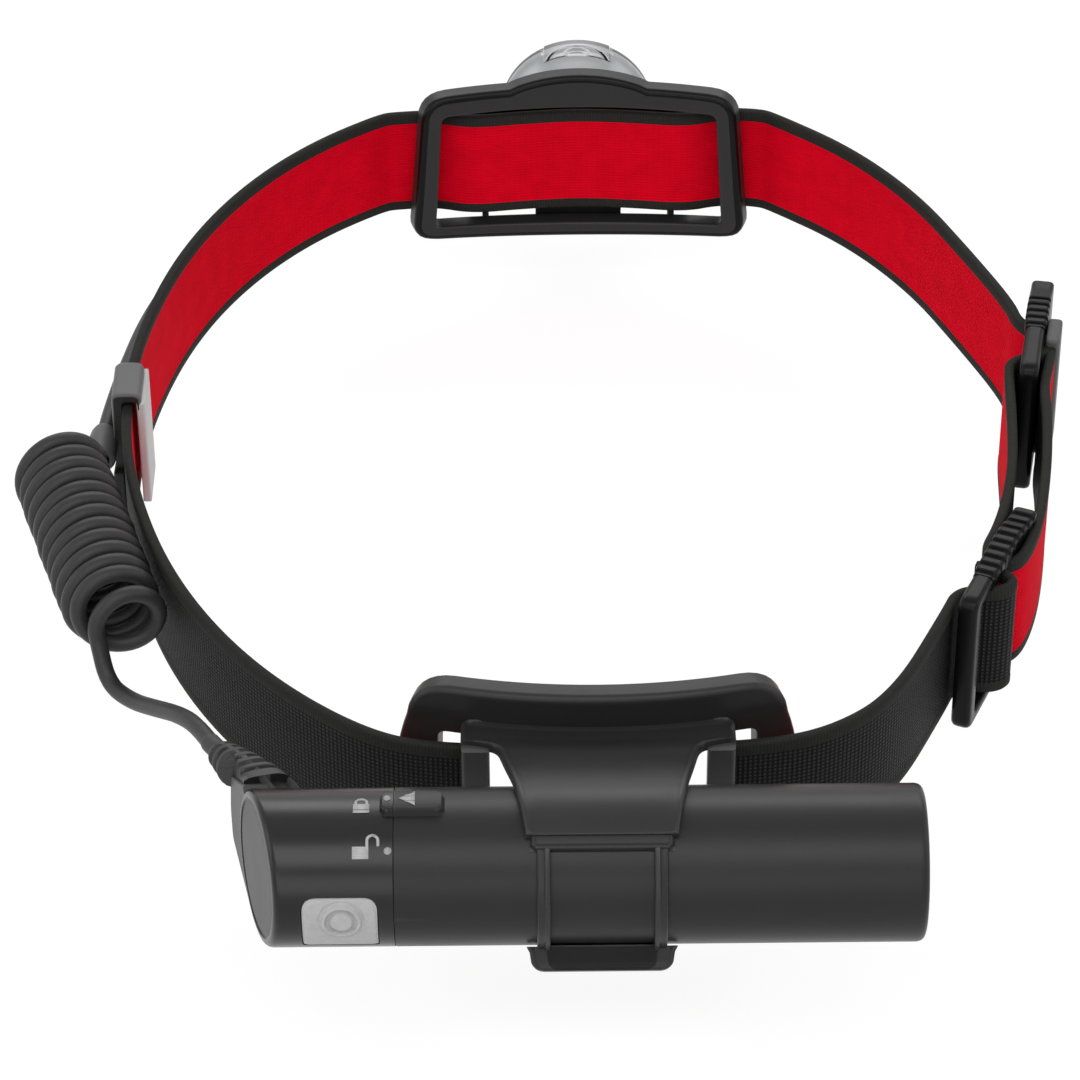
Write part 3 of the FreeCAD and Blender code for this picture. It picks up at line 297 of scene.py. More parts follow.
def strapPlaceNodes():
    # A point's place on the strap, then how far along and how high that is, in millimetres.
    node = add("ShaderNodeAttribute")
    node.attribute_name = "strapPlace"
    parts = add("ShaderNodeSeparateXYZ")
    link(node.outputs["Vector"], parts.inputs[0])
    return node.outputs["Vector"], parts.outputs[0], parts.outputs[1]


def waveOf(place, pitch):
    # A sine wave from 0 to 1 of that pitch.
    return plus(times(mathNode("SINE", times(place, 2 * math.pi / pitch)), 0.5), 0.5)


def cloth(look, colour, height, depth, roughness, gloss):
    link(colour, look["Base Color"])
    link(bumpNode(height, depth), look["Normal"])
    look["Roughness"].default_value = roughness
    look["Specular IOR Level"].default_value = gloss


# deep is the colour towards which a weave darkens in its grooves and holes: painted shade
redWeave = {"colour": (0.78, 0.0005, 0.016), "deep": (0.5, 0.0003, 0.01), "ribPitch": 0.62,
            "stitchPitch": 1.1}
# for the mesh, colour is lit on the raised threads and deep is shade in the holes
blackWeave = {"colour": (0.046, 0.046, 0.045), "deep": (0.0015, 0.0015, 0.0015), "pitchAlong": 0.8,
              "pitchUp": 0.74}
edgeWeave = {"colour": (0.02, 0.02, 0.018), "pitch": 0.55}


def redElastic():
    material, look = nodeMaterial("redElastic")
    vector, along, up = strapPlaceNodes()
    wander = times(noiseNode(vector, 0.09, 2), 0.35)
    rib = waveOf(plus(up, wander), redWeave["ribPitch"])
    height = plus(times(rib, 0.8), times(waveOf(along, redWeave["stitchPitch"]), 0.2))
    # the colour darkens towards deep as the rib height falls: painted shade in the grooves, with a
    # random tone from the noise
    tone = plus(times(height, 0.35), times(noiseNode(vector, 0.25, 3), 0.8))
    cloth(look, mixColour(tone, redWeave["deep"], redWeave["colour"]), height, 0.00006, 0.78, 0.04)
    return material


def blackMesh():
    material, look = nodeMaterial("blackMesh")
    vector, along, up = strapPlaceNodes()
    column = waveOf(along, blackWeave["pitchAlong"])
    row = waveOf(plus(up, times(noiseNode(vector, 0.3, 2), 0.2)), blackWeave["pitchUp"])
    height = times(column, mathNode("POWER", row, 0.7))
    # the raised threads take the lighter colour and the holes fall to deep: painted highlights and
    # painted shade, with a random tone from the noise
    tone = times(mathNode("POWER", height, 1.6), spread(noiseNode(vector, 3.0, 2), 0.55, 1.25))
    colour = mixColour(tone, blackWeave["deep"], blackWeave["colour"])
    cloth(look, colour, height, 0.00022, 0.6, 0.1)
    return material


def blackEdge():
    material, look = nodeMaterial("wovenEdge")
    vector, along, _ = strapPlaceNodes()
    pick = waveOf(along, edgeWeave["pitch"])
    # the colour is lighter on the raised picks and darker between them: painted shade, over a
    # random tone from the noise
    tone = plus(times(pick, 0.35), times(noiseNode(vector, 1.4, 3), 0.7))
    cloth(look, mixColour(tone, *shades(edgeWeave["colour"], 0.6, 1.3)), pick, 0.00003, 0.72, 0.1)
    return material


def brushedMetal(name, colour, roughness, axisScale=(1, 1, 1)):
    # Metal with fine brushing and a slight mottle.
    material, look = nodeMaterial(name)
    mapping = add("ShaderNodeMapping")
    mapping.inputs["Scale"].default_value = axisScale
    link(objectPlace(), mapping.inputs["Vector"])
    brushing = noiseNode(mapping.outputs[0], 900, 3)
    link(mixColour(brushing, *shades(colour, 0.85, 1.12)), look["Base Color"])
    link(spread(brushing, roughness - 0.06, roughness + 0.08), look["Roughness"])
    link(bumpNode(brushing, 0.000008), look["Normal"])
    look["Metallic"].default_value = 1
    return material


def clearLens(name):
    material, look = nodeMaterial(name)
    haze = noiseNode(objectPlace(), 300, 2)
    link(mixColour(haze, (0.93, 0.96, 0.98), (1, 1, 1)), look["Base Color"])
    link(spread(haze, 0.02, 0.05), look["Roughness"])
    look["Transmission Weight"].default_value = 1
    look["IOR"].default_value = 1.49
    return material


def speckled(name, first, second, scale, roughness):
    # A plain hard surface with a patchy tone, for small inner pieces.
    material, look = nodeMaterial(name)
    patches = noiseNode(objectPlace(), scale, 4)
    link(mixColour(patches, first, second), look["Base Color"])
    link(spread(patches, roughness - 0.05, roughness + 0.06), look["Roughness"])
    link(bumpNode(patches, 0.00001), look["Normal"])
    return material


finish = {
    "frame": mouldedPlastic("framePlastic", (0.02, 0.02, 0.0205), 0.38, worn=2.4),
    "holder": mouldedPlastic("holderPlastic", (0.021, 0.021, 0.0214), 0.36, worn=2.4),
    "tube": mouldedPlastic("tubePlastic", (0.015, 0.015, 0.0153), 0.36, worn=2.2),
    "cap": mouldedPlastic("capPlastic", (0.006, 0.006, 0.0062), 0.25, worn=1.8, gloss=0.3),
    # paler grey for the cap's end face, the heel and the boot's collar: painted light, standing in
    # for light falling on that face
    "litCapFace": mouldedPlastic("paintedLightFace", (0.09, 0.09, 0.09), 0.5),
    "slider": mouldedPlastic("sliderPlastic", (0.004, 0.004, 0.0042), 0.28, worn=3.0, gloss=0.11),
    "base": mouldedPlastic("basePlastic", (0.012, 0.012, 0.0125), 0.42),
    "clip": mouldedPlastic("clipPlastic", (0.095, 0.095, 0.095), 0.45),
    # dark grey for the clip's inner faces, where it is painted shade, and for its tab
    "clipDark": mouldedPlastic("clipShadePlastic", (0.018, 0.018, 0.018), 0.45),
    "paleGrey": mouldedPlastic("paleGreyPlastic", (0.52, 0.52, 0.52), 0.45, worn=1.1),
    "stop": mouldedPlastic("stopPlastic", (0.075, 0.075, 0.076), 0.5),
    "button": rubberSkin("buttonSilicone", (0.43, 0.43, 0.43), 0.5),
    "print": speckled("greyPrint", (0.4, 0.4, 0.4), (0.45, 0.45, 0.45), 400, 0.5),
    # near-black for the forehead frame's near outer rounding: painted shade standing in for a dark
    # reflection
    "rimShade": mouldedPlastic("frameRimPaintedShade", (0.004, 0.004, 0.0042), 0.25, gloss=0.12),
    "lead": rubberSkin("leadRubber", (0.03, 0.03, 0.03)),
    "boot": rubberSkin("bootRubber", (0.045, 0.045, 0.045), 0.48),
    # near-black for the boot's window recesses and the focus tab's groove: painted shade
    "dark": rubberSkin("paintedShadeDark", (0.006, 0.006, 0.006), 0.7),
    "shell": mouldedPlastic("silverShell", (0.36, 0.365, 0.37), 0.3, grain=0.000004, worn=1.05,
                            metallic=0.5),
    "rim": brushedMetal("rimMetal", (0.16, 0.16, 0.163), 0.3),
    "sink": brushedMetal("sinkMetal", (0.06, 0.06, 0.062), 0.4),
    "steel": brushedMetal("pinSteel", (0.55, 0.55, 0.56), 0.3, (1, 8, 8)),
    "glass": clearLens("lensGlass"),
    "ledBoard": speckled("whiteBoard", (0.74, 0.74, 0.72), (0.86, 0.86, 0.84), 300, 0.4),
    "led": speckled("ledPhosphor", (0.78, 0.62, 0.12), (0.95, 0.82, 0.3), 900, 0.35),
    "board": speckled("greenBoard", (0.012, 0.12, 0.045), (0.03, 0.2, 0.08), 500, 0.35),
    "switch": brushedMetal("switchMetal", (0.5, 0.5, 0.5), 0.35),
    "cell": speckled("cellWrap", (0.03, 0.1, 0.28), (0.05, 0.17, 0.42), 60, 0.3),
    "brass": brushedMetal("contactBrass", (0.72, 0.55, 0.25), 0.3),
    "seal": rubberSkin("sealRubber", (0.015, 0.015, 0.015)),
    "red": redElastic(), "mesh": blackMesh(), "edge": blackEdge(),
}
print("materials are made")


def skin(rings, closedAlong=False):
    # Points and faces of a surface through closed rings of equal count.
    count = len(rings[0])
    points = [p for ring in rings for p in ring]
    faces = []
    last = len(rings) if closedAlong else len(rings) - 1
    for i in range(last):
        a, b = i * count, ((i + 1) % len(rings)) * count
        for k in range(count):
            n = (k + 1) % count
            faces.append((a + k, a + n, b + n, b + k))
    return points, faces


def makeMesh(name, points, faces, materials, chosen=None, sharp=None):
    # A mesh object from points in millimetres. chosen gives each face its material's number.
    mesh = bpy.data.meshes.new(name)
    mesh.from_pydata([tuple(c * mm for c in p) for p in points], [], faces)
    for material in materials if isinstance(materials, (list, tuple)) else [materials]:
        mesh.materials.append(material)
    if chosen is not None:
        mesh.polygons.foreach_set("material_index", chosen)
    work = bmesh.new()
    work.from_mesh(mesh)
    bmesh.ops.recalc_face_normals(work, faces=work.faces)
    work.to_mesh(mesh)
    work.free()
    mesh.shade_smooth()
    if sharp is not None:
        mesh.set_sharp_from_angle(angle=math.radians(sharp))
    item = bpy.data.objects.new(name, mesh)
    bpy.context.scene.collection.objects.link(item)
    return item


def soften(item, width):
    # Joins the points that meet and rounds the sharp edges of a piece.
    weld = item.modifiers.new("weld", "WELD")
    weld.merge_threshold = 0.002 * mm
    if width:
        bevel = item.modifiers.new("soften", "BEVEL")
        bevel.width, bevel.segments, bevel.limit_method = width * mm, 2, "ANGLE"
        bevel.angle_limit = math.radians(32)
        bevel.harden_normals = True
        bevel.use_clamp_overlap = True


def evenNormals(item):
    item.modifiers.new("evenNormals", "WEIGHTED_NORMAL").keep_sharp = True
    return item


def settle(item, body, slotName=None, *nodeNames):
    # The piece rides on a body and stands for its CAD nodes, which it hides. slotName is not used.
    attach(item, body)
    if nodeNames:
        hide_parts(*nodeNames)
    return item


def capped(rings):
    # A skin through rings, with both ends closed by fans.
    points, faces = skin(rings)
    count = len(rings[0])
    for ring, start in ((rings[0], 0), (rings[-1], (len(rings) - 1) * count)):
        centre = tuple(sum(p[i] for p in ring) / count for i in range(3))
        points.append(centre)
        faces += [(start + k, start + (k + 1) % count, len(points) - 1) for k in range(count)]
    return points, faces


def lathe(name, spot, profile, material, steps):
    # Turns a closed profile of (place along, radius). spot(place, radius, angle) gives the point.
    rings = [[spot(along, radius, 2 * math.pi * k / steps) for k in range(steps)]
             for along, radius in profile]
    return evenNormals(makeMesh(name, *skin(rings, closedAlong=True), material, sharp=48))


def solid(name, rings, material, *nodeNames, sharp=50):
    # A closed black plastic piece of the headband set.
    item = evenNormals(makeMesh(name, *capped(rings), material, sharp=sharp))
    return settle(item, "headband_set", "black_plastic", *nodeNames)


def rounding(start, corner, end, count=4):
    # Points of a rounded corner between two points of a profile.
    made = []
    for k in range(count + 1):
        t = k / count
        made.append(tuple((1 - t) ** 2 * a + 2 * t * (1 - t) * b + t * t * c
                          for a, b, c in zip(start, corner, end)))
    return made


def roundCorner(before, corner, after, radius, count):
    # Points of a corner between its two neighbours, rounded by that radius.
    before, corner, after = Vector(before), Vector(corner), Vector(after)
    return rounding(corner + (before - corner).normalized() * radius, corner,
                    corner + (after - corner).normalized() * radius, count)


def smoothStep(value):
    value = min(1.0, max(0.0, value))
    return value * value * (3 - 2 * value)


lead = {"diameter": 2.9, "coilStart": (-78.6, -59.2, 20.6), "coilStop": (-92.2, -20.0, 27.2),
        "turnRadius": 7.2, "pointsPerTurn": 14, "firstTurn": -18, "lastTurn": 212 + 360 * 12,
        "length": 0.747, "aside": 1.5}


def coilPoints():
    # The curly middle of the lead: turns that rise on the outer side and fall beside the strap.
    start, stop = Vector(lead["coilStart"]), Vector(lead["coilStop"])
    way = (stop - start).normalized()
    across = Vector((0, 0, 1)).cross(way)
    room = (stop - start).length - lead["diameter"]
    first, last = lead["firstTurn"], lead["lastTurn"]
    steps = round((last - first) / 360 * lead["pointsPerTurn"])
    points = []
    for k in range(steps + 1):
        share = k / steps
        turn = math.radians(first + (last - first) * share)
        turns = share * (last - first) / 360
        openRing = 1 - smoothStep((turns - 0.75) / 0.5)
        radius = lead["turnRadius"] * (1 + 0.012 * math.sin(turns * 2.1)) * (1 - 0.2 * openRing)
        ahead = lead["diameter"] / 2 + room * (share - 0.02 * openRing + 0.02) / 1.02
        sideways = radius * math.cos(turn) - lead["aside"] * openRing
        points.append(start + way * ahead + across * sideways
                      + Vector((0, 0, 1)) * radius * math.sin(turn))
    return points


def makeLead():
    lower = [(-61.5, -96.5, 27.5), (-64, -90.5, 26.2), (-67.6, -83.6, 23), (-72, -75.9, 18),
             (-76.7, -68.6, 13.6), (-81.3, -62.4, 12.4)]
    upper = [(-88.2, -14.8, 20.6), (-86.2, -10.0, 19.8), (-86.2, -2.5, 19.64), (-85.4, 7, 19.6),
             (-83.8, 20, 19.4), (-80.6, 39, 19), (-74.6, 57, 18.4), (-65.4, 74.6, 17.8),
             (-54.6, 88.4, 17.2), (-44.5, 97.2, 16.6), (-34.2, 102.2, 15.8), (-24.6, 103.6, 15.8)]
    points = [Vector(p) for p in lower] + coilPoints() + [Vector(p) for p in upper]
    curve = bpy.data.curves.new("curlyLead", "CURVE")
    curve.dimensions, curve.bevel_depth = "3D", lead["diameter"] / 2 * mm
    curve.bevel_resolution, curve.resolution_u, curve.use_fill_caps = 6, 6, True
    line = curve.splines.new("NURBS")
    line.points.add(len(points) - 1)
    for spot, point in zip(line.points, points):
        spot.co = (*(point * mm), 1)
    line.order_u, line.use_endpoint_u = 3, True
    curve.materials.append(finish["lead"])
    item = bpy.data.objects.new("curlyLead", curve)
    bpy.context.scene.collection.objects.link(item)
    settle(item, "headband_set", "lead_rubber", "cord_lower", "cord_coil", "cord_upper")


makeLead()
print("the lead is made")

strap = {"bottom": 6.0, "height": 22.0, "halfThick": 0.86, "border": 2.2, "samples": 12}
loop = {"left": 81.4, "right": 77.5, "halfLength": 106, "power": 2.13, "rearPower": 2}
frontSlider = {"middle": (81.3, 17.7), "heading": 79.5}
rearSlider = {"middle": (67.8, -51.3), "heading": 66.2}
# both frames are parts of rings: the radius of the side to the head, the middle and the far side
bend = {"near": 100, "middle": 102, "far": 104, "thick": 4}
foreheadShape = {"face": 94.2, "way": 1}
napeShape = {"face": 92.7, "way": -1}


def loopPoint(degrees):
    turn = math.radians(degrees)
    rearLeft = math.cos(turn) < 0 and math.sin(turn) < 0
    power = 2 / (loop["rearPower"] if rearLeft else loop["power"])
    half = loop["right"] if math.cos(turn) > 0 else loop["left"]
    across = math.copysign(abs(math.cos(turn)) ** power, math.cos(turn))
    ahead = math.copysign(abs(math.sin(turn)) ** power, math.sin(turn))
    return (half * across, loop["halfLength"] * ahead)


def onSlider(slider, along, out):
    heading = math.radians(slider["heading"])
    ax, ay = math.cos(heading), math.sin(heading)
    x, y = slider["middle"]
    return (x + along * ax + out * ay, y + along * ay - out * ax)


def smoothLine(corners, samples):
    # A smooth line that starts and ends at the outer corners and rounds the others.
    spots = [np.array(c, float) for c in corners]
    line, ways = [], []
    for i in range(1, len(spots) - 1):
        a = spots[0] if i == 1 else (spots[i - 1] + spots[i]) / 2
        b = spots[i]
        c = spots[-1] if i == len(spots) - 2 else (spots[i] + spots[i + 1]) / 2
        for k in range(samples if i < len(spots) - 2 else samples + 1):
            t = k / samples
            line.append((1 - t) ** 2 * a + 2 * t * (1 - t) * b + t * t * c)
            way = (1 - t) * (b - a) + t * (c - b)
            ways.append(way / np.linalg.norm(way))
    return line, ways


def strapPiece(name, corners, redSide, slotName, node):
    # A woven band on edge. redSide is -1 where the red face is to the right of the way it runs.
    line, ways = smoothLine(corners, strap["samples"])
    half, thick = strap["height"] / 2, strap["halfThick"]
    middle = strap["bottom"] + half
    face, border = half - strap["border"], half - 0.45
    rows = 6
    inner = [(-0.93 * thick, -face + 2 * face * k / rows) for k in range(rows + 1)]
    outer = [(0.93 * thick, face - 2 * face * k / rows) for k in range(rows + 1)]
    top = [(-thick, face + 0.35), (-thick, border), (-0.72 * thick, half - 0.12), (0, half),
           (0.72 * thick, half - 0.12), (thick, border), (thick, face + 0.35)]
    section = inner + top + outer + [(-n, -h) for n, h in top]
    count = len(section)
    rings, places, run = [], [], 0.0
    for i, (spot, way) in enumerate(zip(line, ways)):
        run += np.linalg.norm(spot - line[i - 1]) if i else 0
        side = np.array([-way[1], way[0]]) * -redSide
        rings.append([(*(spot + side * n), middle + h) for n, h in section])
        places += [(run, h, n) for n, h in section]
    points, faces = skin(rings)
    chosen = []
    for _ in range(len(rings) - 1):
        for k in range(count):
            red = k < rows
            mesh = len(inner) + len(top) <= k < len(inner) + len(top) + rows
            chosen.append(0 if red else 1 if mesh else 2)
    faces += [tuple(range(count)), tuple((len(rings) - 1) * count + k for k in range(count))]
    chosen += [2, 2]
    item = makeMesh(name, points, faces, [finish[k] for k in ("red", "mesh", "edge")], chosen, 60)
    store = item.data.attributes.new("strapPlace", "FLOAT_VECTOR", "POINT")
    store.data.foreach_set("vector", np.array(places, np.float32).ravel())
    return settle(item, "headband_set", slotName, node)


def makeStraps():
    overFrame = foreheadShape["face"] - bend["near"] + math.sqrt(bend["far"] ** 2 - 30.5 ** 2) + 1.2
    rightFront = [(0, 96.6), (11, overFrame + 0.8), (21, overFrame - 0.7), (28, overFrame + 1.6),
                  (35.4, overFrame + 1)]
    front = [(-x, y) for x, y in reversed(rightFront[1:])] + rightFront
    clipRun = [(-81.4, -9.3), (-81.4, 13.5)]
    left = ([loopPoint(d) for d in range(244, 190, -12)] + clipRun
            + [loopPoint(d) for d in range(161, 116, -11)])
    right = [loopPoint(d) for d in (62, 49, 36, 24)]
    intoFront = [onSlider(frontSlider, *place) for place in (
        (9.5, -5.4), (3.4, -3.4), (-1.4, 2.8), (-6.2, 2.8), (-9.0, -3.8), (-14.5, -3.5))]
    roundRear = [onSlider(rearSlider, *place) for place in (
        (12, -3.2), (1, -3.2), (1, 3.2), (12, 3.2))]
    overFront = [onSlider(frontSlider, *place) for place in ((-15.5, 2.8), (-8.5, 3.3), (0.5, 3.3))]
    route = [(-17.5, -98.2), (-24.5, -98.1), *left, *front, *right, *intoFront,
             (74.6, -8), (73.2, -24), *roundRear, (78.8, -26), (80.9, -8), *overFront]
    strapPiece("headStrap", route, -1, "strap_weave", "headband")
    rear = [(17.5, -98.2), (24.5, -98.1), loopPoint(297), loopPoint(307)]
    rear += [onSlider(rearSlider, *place) for place in (
        (-15.5, -3.6), (-9, -3.8), (-6.2, 3.9), (-1.35, 3.9), (-1.35, -3.2))]
    strapPiece("rearStrap", rear, 1, "strap_black", "rear_strap")


makeStraps()
print("the straps are made")


def roundedLoop(corners, radius, sides):
    # A loop of four rounded corners. sides[i] gives the points between corner i and the next.
    loopPoints = []
    for i in range(4):
        before, corner, after = (Vector(corners[(i + k - 1) % 4]) for k in range(3))
        loopPoints += roundCorner(before, corner, after, radius, 6)
        inset = (after - corner).normalized() * radius
        loopPoints += sides[i](corner + inset, after - inset)
    return loopPoints


def straightSide(count, bow=None):
    def side(first, last):
        points = [first + (last - first) * ((k + 1) / (count + 1)) for k in range(count)]
        return [bow(p) if bow else tuple(p) for p in points]
    return side


def kinkedSide(places, bow):
    # A level side with points at the given shares of its length.
    def side(first, last):
        return [bow(first + (last - first) * share) for share in places]
    return side


def bentPlate(name, shape, outer, window, materials, nearRound, farRound, node, slotName):
    # A plate with a window, bent round the head. Its profile runs from the window to the rim.
    near, thick = bend["near"], bend["thick"]
    rounds = [(1.25, 0), (0.75, 0.06), (0.32, 0.28), (0.07, 0.66), (0, 1.1)]

    def spot(x, z, deep):
        turn = math.asin(x / bend["middle"])
        y = shape["face"] - near + (near + deep) * math.cos(turn)
        return ((near + deep) * math.sin(turn), shape["way"] * y, z)

    rings = []
    for (ox, oz), (wx, wz) in zip(outer, window):
        across = Vector((ox - wx, oz - wz))
        wide = across.length
        across.normalize()
        profile = [(0, 0.7), (0.08, 0.32), (0.3, 0.08), (0.7, 0), (wide * 0.5, 0)]
        profile += [(wide - s * nearRound, d * nearRound) for s, d in rounds]
        profile += [(wide - s * farRound, thick - d * farRound) for s, d in reversed(rounds)]
        profile += [(wide * 0.5, thick), (0.7, thick), (0.3, thick - 0.08), (0.08, thick - 0.32),
                    (0, thick - 0.7)]
        rings.append([spot(wx + across.x * s, wz + across.y * s, d) for s, d in profile])
    points, faces = skin(rings, closedAlong=True)
    # faces of the near outer rounding take the second material; on the forehead frame that is a
    # painted dark band of shade
    picks = [1 if 5 <= k <= 8 else 0 for _ in rings for k in range(len(rings[0]))]
    item = evenNormals(makeMesh(name, points, faces, materials, picks))
    return settle(item, "headband_set", slotName, node)


def makeFrames():
    topPlaces = [k / 6 * 0.235 for k in range(1, 6)] + [0.235 + k / 18 * 0.53 for k in range(19)]
    topPlaces += [0.765 + k / 6 * 0.235 for k in range(1, 6)]

    def arch(p):
        share = min(1.0, abs(p.x) / 13.5)
        return (p.x, p.y + 2.6 * (1 - share ** 2) ** 0.85)

    def level(p):
        return (p.x, p.y)

    side, bottom = straightSide(8), straightSide(22)
    outer = roundedLoop([(33.2, 0), (30.5, 34), (-30.5, 34), (-33.2, 0)], 5,
                        [side, kinkedSide(topPlaces, arch), side, bottom])
    window = roundedLoop([(28.6, 2.8), (27, 29.6), (-27, 29.6), (-28.6, 2.8)], 1.5,
                         [side, kinkedSide(topPlaces, level), side, bottom])

    def sag(loopPoints):
        # The lower bar rises towards its ends.
        return [(x, z + 2.0 * min(1.0, (x / 30) ** 2) * (1 - smoothStep(z / 14)))
                for x, z in loopPoints]

    outer, window = sag(outer), sag([(x, z + 0.7 * (1 - smoothStep(z / 8))) for x, z in window])
    bentPlate("foreheadFrame", foreheadShape, outer, window,
              [finish["frame"], finish["rimShade"]], 1.0, 0.6, "forehead_frame", "black_plastic")
    high, swell = 36, 4.2

    def bulge(p):
        more = swell * math.sin(math.pi * min(1, max(0, p.y / high))) - 0.25
        return (p.x + math.copysign(more, p.x), p.y)

    side, upright = straightSide(12, bulge), straightSide(12)
    outer = roundedLoop([(28, 0), (28, high), (-28, high), (-28, 0)], 5, [side, bottom] * 2)
    outer = [(x + math.copysign(swell * math.sin(math.pi * z / high), x)
              if (z < 5.01 or z > high - 5.01) and abs(x) > 22.9 else x, z) for x, z in outer]
    window = roundedLoop([(25.6, 5.4), (25.0, 27.0), (-25.0, 27.0), (-25.6, 5.4)], 1.5,
                         [upright, bottom] * 2)
    bentPlate("napeFrame", napeShape, outer, window,
              [finish["frame"], finish["frame"]], 0.6, 1.1, "nape_frame", "black_plastic")


makeFrames()
print("the frames are made")

pack = {"y": -122.62, "z": 24.0, "radius": 12.25, "tubeEnd": 49.8, "joint": -31.8, "capEnd": -53.3,
        "slope": 0.266, "lean": 0.064, "tab": (76.5, 101.0), "tabRise": 1.2,
        "tabFrom": -34.0, "tabTo": -23.9}


def onPack(x, radius, angle):
    return (x, pack["y"] + radius * math.cos(angle), pack["z"] + radius * math.sin(angle))


def packPatch(name, xPlaces, angles, rise, material, sink=0.5):
    # A closed pad that follows the pack's round side. rise(x, angle) is its height.
    points = [onPack(x, pack["radius"] + rise(x, a), math.radians(a))
              for x in xPlaces for a in angles]
    wide = len(angles)
    base = len(points)
    points += [onPack(x, pack["radius"] - sink, math.radians(a)) for x in xPlaces for a in angles]
    faces = []
    for i in range(len(xPlaces) - 1):
        for k in range(wide - 1):
            a = i * wide + k
            faces.append((a, a + 1, a + wide + 1, a + wide))
            faces.append((base + a, base + a + wide, base + a + wide + 1, base + a + 1))
    border = list(range(wide)) + [i * wide + wide - 1 for i in range(1, len(xPlaces))]
    border += [(len(xPlaces) - 1) * wide + k for k in range(wide - 2, -1, -1)]
    border += [i * wide for i in range(len(xPlaces) - 2, 0, -1)]
    for a, b in zip(border, border[1:] + border[:1]):
        faces.append((a, b, base + b, base + a))
    return makeMesh(name, points, faces, material, sharp=50)


def tabRise(x, angle):
    # How far the raised tab stands out at a place: a pad with rounded corners and sides.
    low, high = pack["tab"]
    halfX = (pack["tabTo"] - pack["tabFrom"]) / 2
    halfA = math.radians(high - low) / 2 * pack["radius"]
    dx = abs(x - (pack["tabFrom"] + pack["tabTo"]) / 2) - (halfX - 1.3)
    da = abs(math.radians(angle - (low + high) / 2)) * pack["radius"] - (halfA - 1.3)
    away = math.hypot(max(dx, 0), max(da, 0)) + min(max(dx, da), 0)
    return -0.15 + (pack["tabRise"] + 0.15) * smoothStep((1.3 - away) / 0.6)


def makePad(name, start, end, count, material, body, slotName):
    # One part of the raised tab, which the joint between the tube and the cap divides.
    low, high = pack["tab"]
    angles = [low + (high - low) * k / 30 for k in range(31)]
    places = [start + (end - start) * k / count for k in range(count + 1)]
    settle(packPatch(name, places, angles, tabRise, finish[material]), body, slotName)


def makeTube():
    radius, end = pack["radius"], pack["tubeEnd"]
    start = pack["joint"] + 0.06
    profile = [(start + 0.02, 10.9), (start, 11.4), (start, radius - 0.1)]
    profile += rounding((start, radius - 0.1), (start, radius), (start + 0.1, radius), 3)[1:]
    profile += [(start + (end - start) * k / 10, radius) for k in range(1, 10)]
    profile += rounding((end - 1.5, radius), (end, radius), (end, radius - 1.5), 6)
    profile += [(end, 8.0), (end, 4.0), (end, 0.02)]
    profile += [(end - 2, 0.02), (end - 2, 10), (start + 6, 10), (start + 6, 10.95)]
    item = lathe("batteryTube", onPack, profile, finish["tube"], 128)
    settle(item, "tube_body", "pack_plastic", "battery_tube")
    makePad("arrowTab", start, pack["tabTo"], 28, "tube", "tube_body", "pack_plastic")


def makeCap():
    # The cap: a round body that ends in a slanted face with a rounded rim.
    radius, joint = pack["radius"], pack["joint"]

    def endPlace(out, angle):
        return (pack["capEnd"] - pack["slope"] * out * math.cos(angle)
                + pack["lean"] * out * math.sin(angle))

    steps = 128
    turns = [2 * math.pi * k / steps for k in range(steps)]
    slopeFrom = joint - 0.3
    rings = [[onPack(joint - away, r, a) for a in turns] for away, r in (
        (0.0, 11.0), (0.0, radius - 0.1), (0.03, radius - 0.03), (0.1, radius))]
    for k in range(1, 8):
        rings.append([onPack(slopeFrom + (endPlace(radius, a) + 1.2 - slopeFrom) * k / 8, radius, a)
                      for a in turns])
    rim = rounding((1.2, radius), (0, radius), (0, radius - 1.2), 6)
    rim += [(0.0, radius - 1.35), (0.22, radius - 1.45), (0.26, radius - 1.62)]
    rimRows = len(rings) + len(rim) - 1
    rim += [(0.12, (radius - 1.62) * share) for share in (0.97, 0.8, 0.55, 0.3, 0.08)]
    rings += [[onPack(endPlace(r, a) + away, r, a) for a in turns] for away, r in rim]
    points, faces = skin(rings)
    # the rim and the slanted end face take the paler grey: painted light on the face
    picks = [1 if row >= rimRows else 0 for row in range(len(rings) - 1) for _ in range(steps)]
    centre = len(points)
    points.append((pack["capEnd"] + 0.12, pack["y"], pack["z"]))
    last = (len(rings) - 1) * steps
    faces += [(last + k, last + (k + 1) % steps, centre) for k in range(steps)]
    picks += [1] * steps
    spigot = [(0.0, 11.0), (-5.8, 10.9), (-5.8, 8.8), (0.0, 8.8), (16.0, 8.8), (16.0, 0.02)]
    start = len(points)
    more, moreFaces = skin([[onPack(joint - away, r, a) for a in turns] for away, r in spigot])
    points += more
    faces += [tuple(start + i for i in f) for f in moreFaces]
    picks += [0] * len(moreFaces)
    work = makeMesh("batteryCap", points, faces, [finish["cap"], finish["litCapFace"]], picks)
    join = bmesh.new()
    join.from_mesh(work.data)
    bmesh.ops.remove_doubles(join, verts=join.verts, dist=1e-7)
    bmesh.ops.recalc_face_normals(join, faces=join.faces)
    join.to_mesh(work.data)
    join.free()
    cutButtonRoom(work)
    work.data.shade_smooth()
    work.data.set_sharp_from_angle(angle=math.radians(40))
    evenNormals(work)
    settle(work, "headband_set", "cap_plastic", "battery_cap")
    makePad("lockTab", pack["tabFrom"], joint - 0.02, 12, "cap", "headband_set", "cap_plastic")


button = {"left": -45.8, "right": -34.3, "low": 17.2, "high": 27.8, "corner": 2.3, "lowCorner": 0.7,
          "room": 0.16, "ring": (-39.8, 23.9)}


